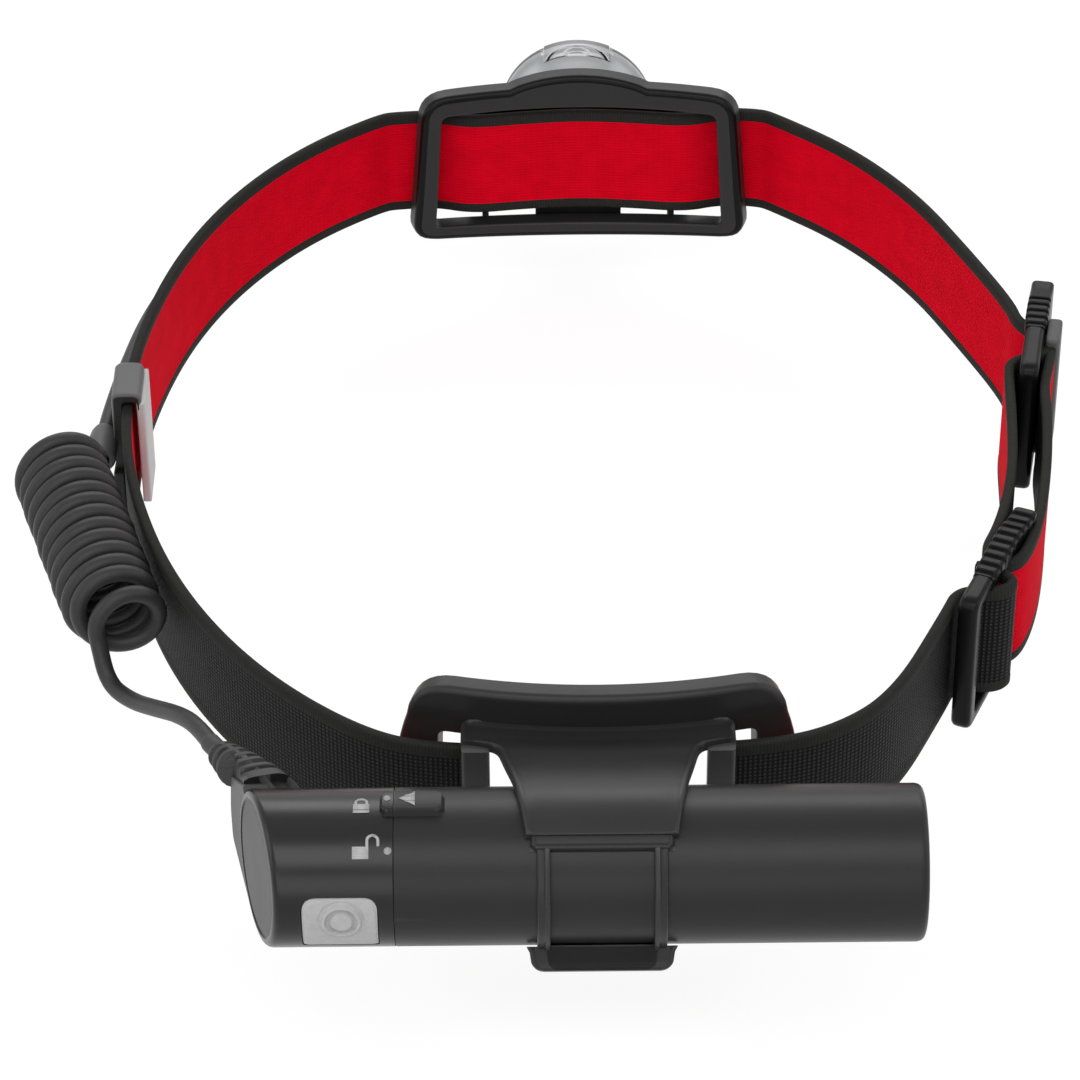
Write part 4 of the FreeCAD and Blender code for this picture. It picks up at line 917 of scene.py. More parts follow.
def buttonOutline(grow):
    # The button's outline seen from behind: two rounded corners on top, nearly square ones below.
    left, right = button["left"] - grow, button["right"] + grow
    low, high = button["low"] - grow, button["high"] + grow
    corners = [(right, low), (right, high), (left, high), (left, low)]
    points = []
    for i, corner in enumerate(corners):
        r = button["corner"] if corner[1] == high else button["lowCorner"]
        points += roundCorner(corners[i - 1], corner, corners[(i + 1) % 4], r, 8)
    return points


def cutButtonRoom(item):
    # Cuts the button's opening out of the cap, so that the button can sink into it.
    outline = buttonOutline(button["room"])
    near, deep = pack["y"] - pack["radius"] - 2, pack["y"] - pack["radius"] + 6.2
    rings = [[(x, y, z) for x, z in outline] for y in (near, deep)]
    tool = makeMesh("buttonRoom", *capped(rings), finish["dark"])
    cut = item.modifiers.new("room", "BOOLEAN")
    cut.operation, cut.object, cut.solver = "DIFFERENCE", tool, "EXACT"
    bpy.context.view_layer.update()
    finished = item.evaluated_get(bpy.context.evaluated_depsgraph_get())
    done = bpy.data.meshes.new_from_object(finished)
    item.modifiers.clear()
    item.data = done
    bpy.data.objects.remove(tool)


def makeButton():
    # A silicone pad with a raised ring and a low dome in it.
    outline = buttonOutline(0)
    ring = Vector(button["ring"])

    def height(x, z, share):
        away = (Vector((x, z)) - ring).length
        rise = 0.5 * smoothStep((0.36 - abs(away - 2.75)) / 0.17)
        rise -= 0.22 * math.exp(-((away - 2.18) / 0.2) ** 2)
        rise -= 0.2 * math.exp(-((away - 3.35) / 0.2) ** 2)
        rise += 0.4 * smoothStep((1.9 - away) / 0.3)
        edge = smoothStep((1 - share) / 0.09)
        return 0.2 + rise - 0.3 * (1 - edge)

    shares = [1, 0.985, 0.965, 0.94, 0.91] + [0.86 - 0.86 * k / 42 for k in range(42)]
    fine = []
    for i, p in enumerate(outline):
        q = outline[(i + 1) % len(outline)]
        gap = (Vector(q) - Vector(p)).length
        parts = max(1, round(gap / 0.42))
        fine += [tuple(Vector(p).lerp(Vector(q), k / parts)) for k in range(parts)]
    rings = []
    for deep in (4.0, 2.0, 0.6):
        rings.append([(x, pack["y"] - math.sqrt((pack["radius"] - deep) ** 2
                       - (z - pack["z"]) ** 2), z) for x, z in fine])
    for share in shares:
        rings.append([])
        for x, z in fine:
            px = ring.x + (x - ring.x) * share
            pz = ring.y + (z - ring.y) * share
            out = pack["radius"] + height(px, pz, share)
            rings[-1].append((px, pack["y"] - math.sqrt(out ** 2 - (pz - pack["z"]) ** 2), pz))
    item = makeMesh("buttonPad", *capped(rings), finish["button"], sharp=55)
    settle(item, "power_button", "button_silicone", "switch_button")


def printShape(name, centre, body, rows, lift):
    # A printed mark on the pack. rows are (height, left, right) bands in millimetres about centre.
    points, faces = [], []
    x0, angle0 = centre
    for (h1, l1, r1), (h2, l2, r2) in rows:
        start = len(points)
        for h, l, r in ((h1, l1, r1), (h2, l2, r2)):
            angle = math.radians(angle0) + h / pack["radius"]
            points += [onPack(x0 + l, pack["radius"] + lift, angle),
                       onPack(x0 + r, pack["radius"] + lift, angle)]
        faces.append((start, start + 1, start + 3, start + 2))
    item = makeMesh(name, points, faces, finish["print"])
    thick = item.modifiers.new("ink", "SOLIDIFY")
    thick.thickness, thick.offset = 0.09 * mm, -1
    settle(item, body)


def bands(outline, low, high, count):
    # Bands of a shape whose left and right sides are functions of height.
    heights = [low + (high - low) * k / count for k in range(count + 1)]
    return [((a, *outline(a)), (b, *outline(b))) for a, b in zip(heights, heights[1:])]


def dotBands(radius):
    def half(h):
        return math.sqrt(max(0, radius ** 2 - h * h))

    return bands(lambda h: (-half(h), half(h)), -radius, radius, 14)


def shackle(outer, inner, low, leftLow=None):
    # The two sides of a padlock's bow, as bands from its top down to low.
    made = []
    count = 14
    floor = {-1: low if leftLow is None else leftLow, 1: low}
    for side in (-1, 1):
        heights = [-outer + (floor[side] + outer) * k / count for k in range(count + 1)]
        for a, b in zip(heights, heights[1:]):
            pair = []
            for h in (a, b):
                far = math.sqrt(max(0, outer ** 2 - min(h, 0) ** 2))
                near = math.sqrt(max(0, inner ** 2 - min(h, 0) ** 2)) if h > -inner else 0
                pair.append((h, min(side * near, side * far), max(side * near, side * far)))
            made.append(tuple(pair))
    return made


def shifted(rows, right, down):
    return [tuple((h + down, l + right, r + right) for h, l, r in band) for band in rows]


def makePrints():
    body = bands(lambda h: (-1.25, 1.25), 0, 1.9, 5)
    printShape("lockedMark", (-36.7, 88.5), "headband_set", shifted(body, 0, -0.1)
               + shifted(shackle(1.05, 0.62, 0.5), 0, -0.55), 0.03)
    printShape("unlockedMark", (-36.4, 123.5), "headband_set", shifted(body, -0.35, 0.2)
               + shifted(shackle(1.05, 0.62, 0.9, 1.3), 1.5, -0.75), 0.03)
    printShape("unlockDot", (-32.6, 127.6), "headband_set", dotBands(0.58), 0.03)
    printShape("lockDot", (-32.75, 88.2), "headband_set", dotBands(0.52), pack["tabRise"] + 0.03)
    arrow = bands(lambda h: (-1.3 + abs(h) / 1.5 * 2.5, 1.2), -1.5, 1.5, 12)
    printShape("arrowMark", (-29.7, 88.2), "tube_body", arrow, pack["tabRise"] + 0.03)


makeTube()
makeCap()
makeButton()
makePrints()
print("the battery pack is made")

boot = {"base": (-50.2, -115.6, 24.6), "tip": (-61.5, -96.5, 27.5), "start": (-0.14, 0.98, 0.1),
        "way": (-0.45, 0.87, -0.2), "halfWide": 5.7, "halfUp": 7.9, "halfDown": 10.6, "neck": 2.45,
        "neckAt": 0.82, "tipRadius": 1.62, "ribs": 6, "ribRise": 0.75, "ribsFrom": 0.32,
        "heelEnd": -104.0}


def facePlane(y, z):
    return pack["capEnd"] - pack["slope"] * (y - pack["y"]) + pack["lean"] * (z - pack["z"])


def makeHeel():
    # The flat side of the boot, level with the slanted face of the cap.
    corners = [(-112.0, 31.7), (-103.5, 26.6), (-103.9, 21.0), (-105.8, 16.4), (-119.0, 12.6)]
    edge = [corners[0]]
    for before, corner, after in zip(corners, corners[1:], corners[2:]):
        edge += roundCorner(before, corner, after, 1.2, 5)
    edge.append(corners[-1])
    first, last = (math.atan2(z - pack["z"], y - pack["y"]) for y, z in (corners[0], corners[-1]))
    rings = []
    for k, place in enumerate(edge):
        turn = first + (last - first) * k / (len(edge) - 1)
        hub = Vector((pack["y"] + 11.2 * math.cos(turn), pack["z"] + 11.2 * math.sin(turn)))
        place = Vector(place)
        inward = (hub - place).normalized()
        rings.append([])
        for spot, deep in ((hub, 0.1), (place + inward * 0.4, 0.1), (place + inward * 0.1, 0.2),
                           (place, 0.5), (place, 4.0), (hub, 4.0)):
            rings[-1].append((facePlane(spot.x, spot.y) + deep, spot.x, spot.y))
    # the face side takes the cap face's paler grey: painted light
    picks = [0 if k < 3 else 1 for _ in range(len(rings) - 1) for k in range(6)] + [1] * 12
    item = makeMesh("bootHeel", *capped(rings), [finish["litCapFace"], finish["boot"]], picks, 45)
    settle(evenNormals(item), "headband_set", "lead_rubber")


def makeBoot():
    # A tapering rubber boot: ribs with a spine on top, and two windows where it meets the cap.
    base, tip, way = Vector(boot["base"]), Vector(boot["tip"]), Vector(boot["way"]).normalized()
    start = Vector(boot["start"]).normalized()
    rows, around = 150, 120
    rings, windowShade = [], []
    for i in range(rows + 1):
        s = i / rows
        knee = base + start * 8
        knee2 = tip - way * 8
        centre = ((1 - s) ** 3 * base + 3 * s * (1 - s) ** 2 * knee + 3 * s * s * (1 - s) * knee2
                  + s ** 3 * tip)
        ahead = (start * (1 - s) + way * s).normalized()
        side = ahead.cross(Vector((0, 0, 1))).normalized()
        up = side.cross(ahead)
        taper = max(0.0, 1 - s / boot["neckAt"])
        pastNeck = smoothStep((s - boot["neckAt"]) / 0.07)
        neck = boot["neck"] + (boot["tipRadius"] - boot["neck"]) * pastNeck
        wide = neck + (boot["halfWide"] - boot["neck"]) * taper
        tallUp = neck + (boot["halfUp"] - boot["neck"]) * taper ** 0.9
        tallDown = neck + (boot["halfDown"] - boot["neck"]) * taper ** 1.4
        share = (s - boot["ribsFrom"]) / (boot["neckAt"] - boot["ribsFrom"])
        phase = share * boot["ribs"] % 1
        groove = smoothStep((phase - 0.4) / 0.1) * (1 - smoothStep((phase - 0.88) / 0.1))
        groove *= 0 <= share < 1
        deep = boot["ribRise"] * (1 - 0.25 * s)
        ring, dark = [], []
        for k in range(around):
            a = 2 * math.pi * k / around
            c, n = math.cos(a), math.sin(a)
            power = 2 + 2.8 * taper ** 1.2 if n > 0 else 2
            tall = tallUp if n > 0 else tallDown
            x = wide * math.copysign(abs(c) ** (2 / power), c)
            z = tall * math.copysign(abs(n) ** (2 / power), n)
            spine = n > 0 and abs(x) < 0.5
            cut = deep * groove * (0.15 if spine else 1)
            window = 0
            if n > 0 and s < 0.3:
                inX = smoothStep((abs(x) - 0.55) / 0.15) * (1 - smoothStep((abs(x) - 3.9) / 0.15))
                inS = 1 - smoothStep((s - 0.268) / 0.012)
                window = inX * inS
            cut += 1.3 * window
            length = math.hypot(x, z) or 1
            x, z = x * (1 - cut / length), z * (1 - cut / length)
            spot = centre + side * x + up * z
            if spot.y < boot["heelEnd"]:
                spot.x = max(spot.x, facePlane(spot.y, spot.z) + 0.6)
            ring.append(spot)
            dark.append(window > 0.5)
        rings.append([tuple(p) for p in ring])
        windowShade.append(dark)
    lip = rounding((0, boot["tipRadius"]), (0.5, boot["tipRadius"]), (0.5, lead["diameter"] / 2), 4)
    side = way.cross(Vector((0, 0, 1))).normalized()
    up = side.cross(way)
    for ahead, radius in lip[1:]:
        rings.append([])
        for k in range(around):
            a = 2 * math.pi * k / around
            rings[-1].append(tuple(tip + way * ahead + side * radius * math.cos(a)
                                   + up * radius * math.sin(a)))
    picks = []
    for i in range(len(rings) - 1):
        for k in range(around):
            # faces inside the windows take the near-black: painted shade in the recesses
            inWindow = i < rows and windowShade[i][k] and windowShade[i][(k + 1) % around]
            # the collar on the cap's side takes the cap face's paler grey: painted light
            litCollar = i / rows < boot["ribsFrom"] and around * 0.3 < k < around * 0.78
            picks.append(1 if inWindow else 2 if litCollar else 0)
    picks += [0] * (2 * around)
    materials = [finish[k] for k in ("boot", "dark", "litCapFace")]
    item = makeMesh("leadBoot", *capped(rings), materials, picks, 50)
    settle(item, "headband_set", "lead_rubber", "strain_relief")


makeBoot()
makeHeel()
print("the boot is made")

holder = {"root": 21.8, "waist": 16.0, "tip": 11.7, "tongueAngle": 118, "stepAngle": 129.5,
          "thick": 1.8, "top": 30.3, "fit": 0.25, "railEnd": 219}


def frameBack(x):
    # Where the nape frame's outer face lies, behind the head.
    return -(napeShape["face"] - bend["near"] + math.sqrt(bend["far"] ** 2 - x * x) + 0.02)


def makeTongue():
    # The yoke on the nape frame: a shelf that narrows into a tongue, which climbs over the tube.
    radius = pack["radius"] + holder["fit"] + holder["thick"]
    crest = math.radians(72)
    over = Vector((pack["y"] + radius * math.cos(crest), pack["z"] + radius * math.sin(crest)))
    heading = Vector((math.sin(crest), -math.cos(crest)))
    foot = Vector((-99.6, holder["top"] + 0.1))
    line = [Vector((-96.9 - 2.7 * k / 6, holder["top"] + 0.1 * k / 6)) for k in range(6)]
    for k in range(21):
        t = k / 20
        line.append((1 - t) ** 3 * foot + 3 * t * (1 - t) ** 2 * (foot + Vector((-5.5, 0.9)))
                    + 3 * t * t * (1 - t) * (over + heading * 5.5) + t ** 3 * over)
    for k in range(1, 21):
        a = crest + (math.radians(holder["tongueAngle"]) - crest) * k / 20
        line.append(Vector((pack["y"] + radius * math.cos(a), pack["z"] + radius * math.sin(a))))
    run = [0.0]
    for a, b in zip(line, line[1:]):
        run.append(run[-1] + (b - a).length)
    shelfRun = 3.3
    extra = [shelfRun + e for e in (-0.25, -0.08, 0.0, 0.05, 0.12, 0.3, 0.6, 1.0, 1.5)]
    stops = sorted(set(run + extra))
    rings = []
    for r in stops:
        i = max(0, min(len(run) - 2, sum(1 for q in run if q <= r) - 1))
        share = (r - run[i]) / (run[i + 1] - run[i])
        spot = line[i].lerp(line[i + 1], share)
        way = (line[min(i + 2, len(line) - 1)] - line[max(i - 1, 0)]).normalized()
        out = Vector((-way.y, way.x))
        if out.y < 0:
            out = -out
        beyond = max(0.0, r - shelfRun)
        left = (run[-1] - r) / (run[-1] - shelfRun)
        half = holder["tip"] + (holder["waist"] - holder["tip"]) * min(1.0, left)
        half += (holder["root"] - holder["waist"]) * math.exp(-(beyond / 0.42) ** 0.75)
        if r < 0.8:
            half -= 0.8 - math.sqrt(max(0, 0.64 - (0.8 - r) ** 2))
        thick = holder["thick"] - 0.15
        section = [(-half, -thick), (-half, -0.75), (-half + 0.08, -0.3), (-half + 0.3, -0.06),
                   (-half + 0.6, 0.0), (-half + 0.95, -0.05), (-half + 1.3, -0.28)]
        section += [(-half + 1.3 + (2 * half - 2.6) * k / 14, -0.28) for k in range(1, 14)]
        section += [(-x, n) for x, n in reversed(section[:7])]
        follow = 1 - smoothStep(r / (shelfRun + 1))
        ring = []
        for x, n in section:
            bow = (frameBack(x) - frameBack(0)) * follow
            rim = 0.28 * (1 - smoothStep(r / 0.5)) if n > -0.5 else 0
            ring.append((x, spot.x + bow + out.x * n, spot.y + out.y * (n + rim)))
        rings.append(ring)
    last = math.radians(holder["tongueAngle"])
    for ahead, drop in ((0.2, 0.05), (0.36, 0.3), (0.4, 0.7), (0.4, 1.2)):
        turn = last + ahead / radius
        rings.append([(x, pack["y"] + (radius + min(n, -drop)) * math.cos(turn),
                       pack["z"] + (radius + min(n, -drop)) * math.sin(turn)) for x, n in section])
    solid("packTongue", rings, finish["holder"], "pack_holder")


def makeStep():
    # The thinner end piece below the tongue: its lower corners are cut off and its edges rounded.
    radius = pack["radius"]
    first, last = holder["tongueAngle"] - 3, holder["stepAngle"]
    xs = [-11.0 + 22.0 * k / 88 for k in range(89)]
    angles = [first + (last - first) * k / 24 for k in range(25)]

    def rise(x, angle):
        low = math.radians(last - angle) * radius
        corner = (11.0 - abs(x)) + low - 0.9
        edge = min(11.0 - abs(x), low, corner)
        inset = min(11.0 - abs(x), low) - 0.5
        lip = 0.18 * (1 - smoothStep((inset - 0.1) / 0.35))
        return holder["fit"] + 0.95 * smoothStep(edge / 0.35) + lip * smoothStep(edge / 0.5)

    item = packPatch("tongueStep", xs, angles, rise, finish["holder"], -holder["fit"] + 0.02)
    settle(evenNormals(item), "headband_set", "black_plastic")


def makeCradle():
    # The clip under the tube: a wall round the front, two rails behind and a thumb lip.
    start, end = holder["stepAngle"] - 2, holder["railEnd"]
    for name, sign in (("leftRail", -1), ("rightRail", 1)):
        places = [7.9, 7.93, 8.0, 8.15, 8.7, 8.78, 8.86, 8.95, 9.6, 9.8, 9.93, 10.0]
        heights = [0.3, 0.75, 0.92, 1.0, 1.0, 0.9, 0.72, 0.66, 0.66, 0.6, 0.45, 0.2]
        shape = dict(zip(places, heights))
        xs = sorted(sign * x for x in places)
        rail = packPatch(name, xs, [start + (end - start) * k / 40 for k in range(41)],
                         lambda x, angle: holder["fit"] + shape[abs(x)], finish["holder"],
                         -holder["fit"] + 0.02)
        settle(rail, "headband_set", "black_plastic")
    wallStart = end - 360
    wallSpan = 360 - end + 74
    xs = [-10, -9.8, -9.4] + [-9 + 18 * k / 12 for k in range(13)] + [9.4, 9.8, 10]
    wall = packPatch("cradleWall", xs, [wallStart + wallSpan * k / 60 for k in range(61)],
                     lambda x, angle: 1.6 - 0.5 * smoothStep((abs(x) - 9.3) / 0.7),
                     finish["holder"], -holder["fit"] + 0.02)
    settle(wall, "headband_set", "black_plastic")
    root = math.radians(end)
    inner = pack["radius"] + holder["fit"]
    out = Vector((math.cos(root), math.sin(root)))
    down = Vector((-math.sin(root), math.cos(root)))
    rings = []
    reach = [0, 0.5, 1.0, 1.6, 2.2, 2.8, 3.3, 3.7, 4.0, 4.2, 4.3]
    for r in reach:
        flare = 0.35 * (1 - smoothStep(r / 1.1))
        corner = 1.7 - math.sqrt(max(0.0, 1.7 ** 2 - max(0.0, r - 2.6) ** 2)) if r > 2.6 else 0
        half = 11.3 + flare - 0.12 * r - corner
        edge = max(0.0, r - 3.7)
        rim = 0.3 * smoothStep((r - 3.2) / 0.5)
        thick = 1.5 - edge * 0.5
        section = [(-half, 0.35), (-half + 0.1, 0.08), (-half + 0.4, 0.0), (-half + 0.75, 0.1),
                   (-half + 0.95, 0.35 - rim)]
        section += [(-half + 0.95 + (2 * half - 1.9) * k / 12, 0.35 - rim) for k in range(1, 12)]
        section += [(-x, n) for x, n in reversed(section)]
        section += [(half - 0.15, thick), (-half + 0.15, thick)]
        spot = Vector((pack["y"], pack["z"])) + out * (inner + 0.3 + r * 0.8)
        spot += down * (r * 0.5 - 1.1)
        rings.append([(x, spot.x + down.x * n, spot.y + down.y * n) for x, n in section])
    solid("thumbLip", rings, finish["holder"], "holder_cradle")


def makeShelf():
    # The bottom shelf behind the nape frame, with the upright bars that the strap goes round.
    back, half, low, high = 103.2, 21.7, 0.5, 2.5
    places = [half - 2 * half * k / 20 for k in range(21)]
    outline = [(x, frameBack(x)) for x in places]
    outline += rounding((-half, -back + 2.4), (-half, -back), (-half + 2.4, -back), 6)
    outline += rounding((half - 2.4, -back), (half, -back), (half, -back + 2.4), 6)
    rings = []
    for z, inset in ((low, 0.45), (low + 0.12, 0.12), (low + 0.45, 0), (high - 0.5, 0),
                     (high - 0.14, 0.14), (high, 0.5)):
        rings.append([(x - math.copysign(min(inset, abs(x)), x),
                       y + (inset if y < -back + 2 else 0), z) for x, y in outline])
    solid("lowShelf", rings, finish["holder"])
    for name, sign in (("leftBar", -1), ("rightBar", 1)):
        rings = []
        for z in (0.9, holder["top"] - 0.7):
            ring = []
            for first, corner, last in (((17.2, -100.2), (17.2, -99.4), (18.0, -99.4)),
                                        ((20.9, -99.4), (21.7, -99.4), (21.7, -100.2)),
                                        ((21.7, -101.2), (21.7, -102.0), (20.9, -102.0)),
                                        ((18.0, -102.0), (17.2, -102.0), (17.2, -101.2))):
                ring += [(sign * x, y, z) for x, y in rounding(first, corner, last, 4)]
            rings.append(ring)
        solid(name, rings, finish["holder"])


makeTongue()
makeStep()
makeShelf()
makeCradle()
print("the holder is made")

clip = {"rear": -3.6, "front": 7.2, "barrel": (-86.2, 19.64), "barrelFrom": -8.2, "barrelTo": -2.6,
        "barrelRadius": 2.75}


def slab(name, corners, lowZ, highZ, r, material, edge=0.35):
    # An upright plate with rounded corners seen from above, and rounded top and bottom edges.
    outline = []
    for i, corner in enumerate(corners):
        outline += roundCorner(corners[i - 1], corner, corners[(i + 1) % len(corners)], r, 5)
    middle = sum((Vector(c) for c in corners), Vector((0, 0))) / len(corners)
    rings = []
    for z, inset in ((lowZ, edge), (lowZ + edge * 0.3, edge * 0.3), (lowZ + edge, 0),
                     (highZ - edge, 0), (highZ - edge * 0.3, edge * 0.3), (highZ, edge)):
        ring = []
        for p in outline:
            away = middle - Vector(p)
            ring.append((*(Vector(p) + away * (inset / max(away.length, 0.01))), z))
        rings.append(ring)
    return evenNormals(makeMesh(name, *capped(rings), material, sharp=50))


def makeClip():
    # A saddle over the strap's top edge, with a wall outside, a pale plate inside and a boss for
    # the lead.
    outer = [(-84.0, 13.5)] + rounding((-84.0, 29.2), (-84.0, 30.5), (-82.7, 30.55), 5)
    outer += [(-81.5, 30.6)] + rounding((-80.2, 30.55), (-78.75, 30.5), (-78.75, 29.4), 5)
    outer += [(-78.75, 27.2)]
    inner = [(-79.1, 27.2), (-79.15, 28.6), (-79.5, 28.9), (-81.6, 28.9), (-82.2, 28.5),
             (-82.3, 27.6), (-82.3, 13.5)]
    section = outer + inner
    middle = Vector((-81.6, 27.0))
    rings = []
    for y, inset in ((clip["rear"], 0.55), (clip["rear"] + 0.12, 0.2), (clip["rear"] + 0.5, 0),
                     (clip["front"] - 1.2, 0), (clip["front"] - 0.35, 0.35), (clip["front"], 1.0)):
        ring = []
        for k, (x, z) in enumerate(section):
            outside = k < len(outer)
            pull = inset if outside and z > 20 else 0
            away = (middle - Vector((x, z))).normalized() * pull
            drop = 2.5 * smoothStep((y - 3) / 4) if z < 14 else 0
            ring.append((x + away.x, y, z + away.y + drop))
        rings.append(ring)
    points, faces = skin(rings)
    count = len(section)
    faces += [tuple(range(count)), tuple((len(rings) - 1) * count + k for k in range(count))]
    # the inner faces take the dark grey: painted shade inside the saddle
    picks = [0 if k < len(outer) - 1 else 1 for _ in range(len(rings) - 1) for k in range(count)]
    picks += [1, 1]
    item = makeMesh("cableClip", points, faces, [finish["clip"], finish["clipDark"]], picks, 45)
    settle(evenNormals(item), "headband_set", "grey_plastic", "cable_clip")
    low, far = clip["barrelFrom"], clip["barrelTo"]
    r = clip["barrelRadius"]
    profile = [(low + 0.6, 1.5), (low, 1.7)] + rounding((low, r - 0.8), (low, r), (low + 0.8, r), 5)
    profile += [(far - 1.5, r), (far, r - 0.25), (far + 2.2, 2.2), (far + 3.4, 1.75),
                (far + 3.4, 1.5)]
    x, z = clip["barrel"]
    barrel = lathe("leadBoss", lambda y, r, a: (x + r * math.cos(a), y, z + r * math.sin(a)),
                   profile, finish["clip"], 64)
    settle(barrel, "headband_set", "grey_plastic")
    tail = slab("clipTab", [(-82.3, -5.0), (-82.3, 2.0), (-84.2, 2.0), (-84.4, -5.0)],
                5.5, 14.5, 0.5, finish["clipDark"])
    settle(tail, "headband_set", "grey_plastic")
    plate = slab("clipPlate", [(-78.1, -3.6), (-78.1, 7.6), (-79.6, 7.6), (-79.6, -3.6)],
                 7.0, 28.6, 0.45, finish["paleGrey"], 0.4)
    settle(plate, "headband_set", "light_plastic", "clip_plate")


makeClip()
print("the cable clip is made")

slider = {"low": 3.4, "high": 30.6, "rear": -16.0, "head": 5.8, "tip": 14.2, "thick": 3.4,
          "rearBar": -12.6, "bars": (-5.2, -2.6), "frontBar": 3.4, "windowLow": 5.8,
          "windowHigh": 28.2, "ridgeDepth": 0.62}


def makeSlider(name, place, node, ridges, pitch):
    # An upright buckle: a frame with two slots for the strap and a ridged end to grip.
    half = slider["thick"] / 2

    def spot(s, o, z):
        return (*onSlider(place, s, o), z)

    corners = [(slider["rear"], slider["low"]), (slider["rear"], slider["high"]),
               (slider["head"], slider["high"]), (slider["head"], slider["low"])]
    outer = roundedLoop(corners, 2.4, [straightSide(40)] * 4)
    ridgedFrom = slider["tip"] - ridges["from"] - ridges["count"] * pitch - 0.4
    outer = [(s, z - (0.8 if z > slider["high"] - 0.5 and s > ridgedFrom + 0.5 else 0))
             for s, z in outer]
    inside = [(slider["rearBar"], slider["windowLow"]), (slider["rearBar"], slider["windowHigh"]),
              (slider["frontBar"], slider["windowHigh"]), (slider["frontBar"], slider["windowLow"])]
    window = roundedLoop(inside, 0.8, [straightSide(40)] * 4)
    rings = []
    for (os, oz), (ws, wz) in zip(outer, window):
        way = Vector((os - ws, oz - wz))
        wide = way.length
        way.normalize()
        profile = [(0, half - 0.9), (0.1, half - 0.4), (0.4, half - 0.1), (0.8, half),
                   (wide / 2, half), (wide - 1.0, half), (wide - 0.5, half - 0.12),
                   (wide - 0.12, half - 0.5), (wide, half - 1.0)]
        profile = [(d, -o) for d, o in profile] + profile[::-1]
        rings.append([spot(ws + way.x * d, o, wz + way.y * d) for d, o in profile])
    body = evenNormals(makeMesh(name, *skin(rings, closedAlong=True), finish["slider"], sharp=55))
    settle(body, "headband_set", "black_plastic", node)
    low, high = slider["bars"]
    bar = slab(name + "Bar", [onSlider(place, low, -1.2), onSlider(place, low, 1.2),
                              onSlider(place, high, 1.2), onSlider(place, high, -1.2)],
               slider["low"] + 1.5, slider["high"] - 1.5, 0.6, finish["slider"])
    settle(bar, "headband_set", "black_plastic")
    rings = []
    places = [ridgedFrom + (slider["tip"] - ridgedFrom) * k / 220 for k in range(221)]
    fullFrom = slider["head"] - 1.4
    for s in sorted(places + [fullFrom]):
        fromTip = slider["tip"] - s
        wave = 0.0
        along = fromTip - ridges["from"]
        if 0 <= along < ridges["count"] * pitch:
            phase = along / pitch % 1
            wave = smoothStep((phase - 0.42) / 0.14) * (1 - smoothStep((phase - 0.86) / 0.14))
        cut = slider["ridgeDepth"] * wave
        tipRound = 1.2 - math.sqrt(max(0.0, 1.44 - max(0.0, 1.2 - fromTip) ** 2))
        thick = half + 0.06 - tipRound * 0.8 + 0.3 * smoothStep((s - ridgedFrom) / 3)
        high = slider["high"] + 0.1 - cut - tipRound - 0.5 * smoothStep((s - fullFrom - 1) / 6)
        low = 27.6
        if s > fullFrom:
            low = slider["low"] + 0.1 + tipRound + smoothStep((s - fullFrom) / 6)
        ring = []
        for a, b, c in (((-thick, low + 0.8), (-thick, low), (-thick + 0.8, low)),
                        ((thick - 0.8, low), (thick, low), (thick, low + 0.8)),
                        ((thick, high - 0.9), (thick, high), (thick - 0.9, high)),
                        ((-thick + 0.9, high), (-thick, high), (-thick, high - 0.9))):
            ring += rounding(a, b, c, 5)
        curl = ridges["curl"] * smoothStep((s - fullFrom) / 9)
        ring = [(o - math.copysign(cut * 0.22, o) * (1 if z > 24 else 0), z) for o, z in ring]
        rings.append([spot(s, o + curl, z) for o, z in ring])
    solid(name + "Grip", rings, finish["slider"], sharp=55)


def makeStop():
    # The moulded stop on the strap's loose end.
    places = [onSlider(frontSlider, *place) for place in (
        (-4.6, 2.1), (-4.6, 4.7), (3.2, 4.7), (3.2, 2.1))]
    item = slab("strapEndStop", places, 4.8, 29.2, 0.9, finish["stop"], 0.6)
    settle(item, "headband_set", "black_plastic", "strap_end_stop")


makeSlider("frontSliderFrame", frontSlider, "front_slider",
           {"from": 5.6, "count": 5, "curl": 0.2}, 2.1)
makeSlider("rearSliderFrame", rearSlider, "rear_slider",
           {"from": 0.9, "count": 9, "curl": 0.5}, 2.3)
makeStop()
print("the sliders are made")


def dressNode(name, material, bevel):
    # Gives a CAD piece its finish and rounds its edges.
    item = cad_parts[name]
    item.data.materials.clear()
    item.data.materials.append(finish[material])
    item.data.shade_smooth()
    soften(item, bevel)


def makeBase():
    # The lamp's base, with its upper edge kept below the top of the forehead frame.
    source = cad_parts["lamp_base"].data
    points = [v.co / mm for v in source.vertices]
    points = [(x, y, z if z < 22 else 22 + (z - 22) * 0.6) for x, y, z in points]
    faces = [tuple(f.vertices) for f in source.polygons]
    item = makeMesh("lampBase", points, faces, finish["base"], sharp=35)
    soften(item, 0.4)
    settle(item, "headband_set", "black_plastic", "lamp_base")


tab = {"axis": 15.8, "half": 6.53, "rear": 113.85, "front": 118.45, "bottom": 25.2,
       "arc": (113.3, 6.1, 2.6), "dimple": (114.15, 3.0, 0.95), "rimFrom": 116.95}


def bellRadius(y):
    return 12 + 2.2 * (y - 111) / 2.5 if y < 113.5 else min(15.16, 14.2 + (y - 113.5) / 1.6)


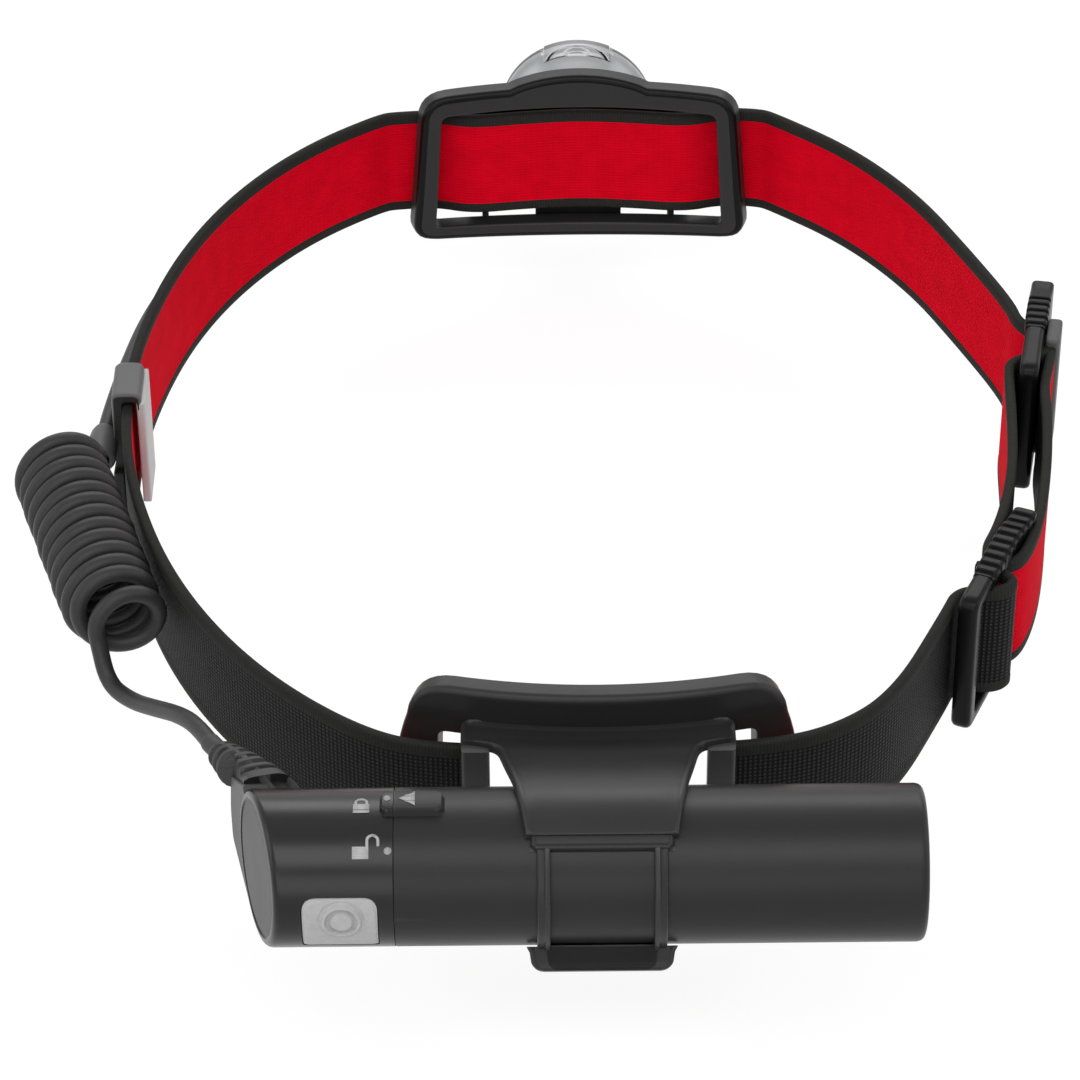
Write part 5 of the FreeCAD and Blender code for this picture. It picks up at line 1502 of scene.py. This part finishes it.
def makeTab():
    # The focus tab: it fills the slot in the rim, with an arched groove and a dimple for the thumb.
    half, arc, dimple = tab["half"], tab["arc"], tab["dimple"]
    columns, rows = 110, 90
    rings, grooveShade = [], []
    for i in range(rows + 1):
        y = tab["rear"] + (tab["front"] - tab["rear"]) * i / rows
        ring, groove = [], []
        for k in range(columns + 1):
            x = -half + 2 * half * k / columns
            z = tab["axis"] + math.sqrt(bellRadius(y) ** 2 - x * x)
            away = math.hypot(x / arc[1], (y - arc[0]) / arc[2])
            inDimple = math.hypot(x / dimple[1], (y - dimple[0]) / dimple[2])
            apart = (away - 1) * (arc[2] + (arc[1] - arc[2]) * min(1.0, abs(x) / arc[1]) ** 2)
            cut = math.exp(-(apart / 0.3) ** 2)
            z += 0.25 * (1 - smoothStep((away - 0.85) / 0.15)) * smoothStep((y - tab["rear"]) / 0.5)
            z -= 0.45 * cut + 0.5 * (1 - smoothStep((inDimple - 0.5) / 0.5))
            ring.append((x, y, z))
            groove.append(cut > 0.45)
        ring += [(half, y, tab["bottom"]), (-half, y, tab["bottom"])]
        rings.append(ring)
        grooveShade.append(groove + [False, False])
    rimFrom = (tab["rimFrom"] - tab["rear"]) / (tab["front"] - tab["rear"]) * rows
    # faces in the arched groove take the near-black: a painted shadow line along the groove
    picks = [1 if i >= rimFrom else 2 if grooveShade[i][k] else 0
             for i in range(rows) for k in range(len(rings[0]))]
    picks += [0] * len(rings[0]) + [1] * len(rings[0])
    materials = [finish[k] for k in ("shell", "rim", "dark")]
    item = makeMesh("focusTab", *capped(rings), materials, picks, 40)
    settle(item, "focus_slider", "light_plastic", "focus_tab")


makeBase()
makeTab()

dressed = {
    "hinge_pins": ("steel", 0.2), "heat_sink": ("sink", 0.12),
    "led_board": ("ledBoard", 0.1), "led_emitter": ("led", 0), "lens_carrier": ("base", 0.1),
    "bezel_ring": ("rim", 0.2), "lamp_housing": ("shell", 0.08),
    "focus_lens": ("glass", 0), "lamp_gland": ("boot", 0.4), "tact_switch": ("switch", 0.1),
    "control_board": ("board", 0.1), "tube_seal": ("seal", 0), "battery_cell": ("cell", 0.3),
    "front_contact": ("brass", 0.1), "tail_contact": ("brass", 0.1),
}
for nodeName, (material, bevel) in dressed.items():
    dressNode(nodeName, material, bevel)
print("the other pieces are dressed")
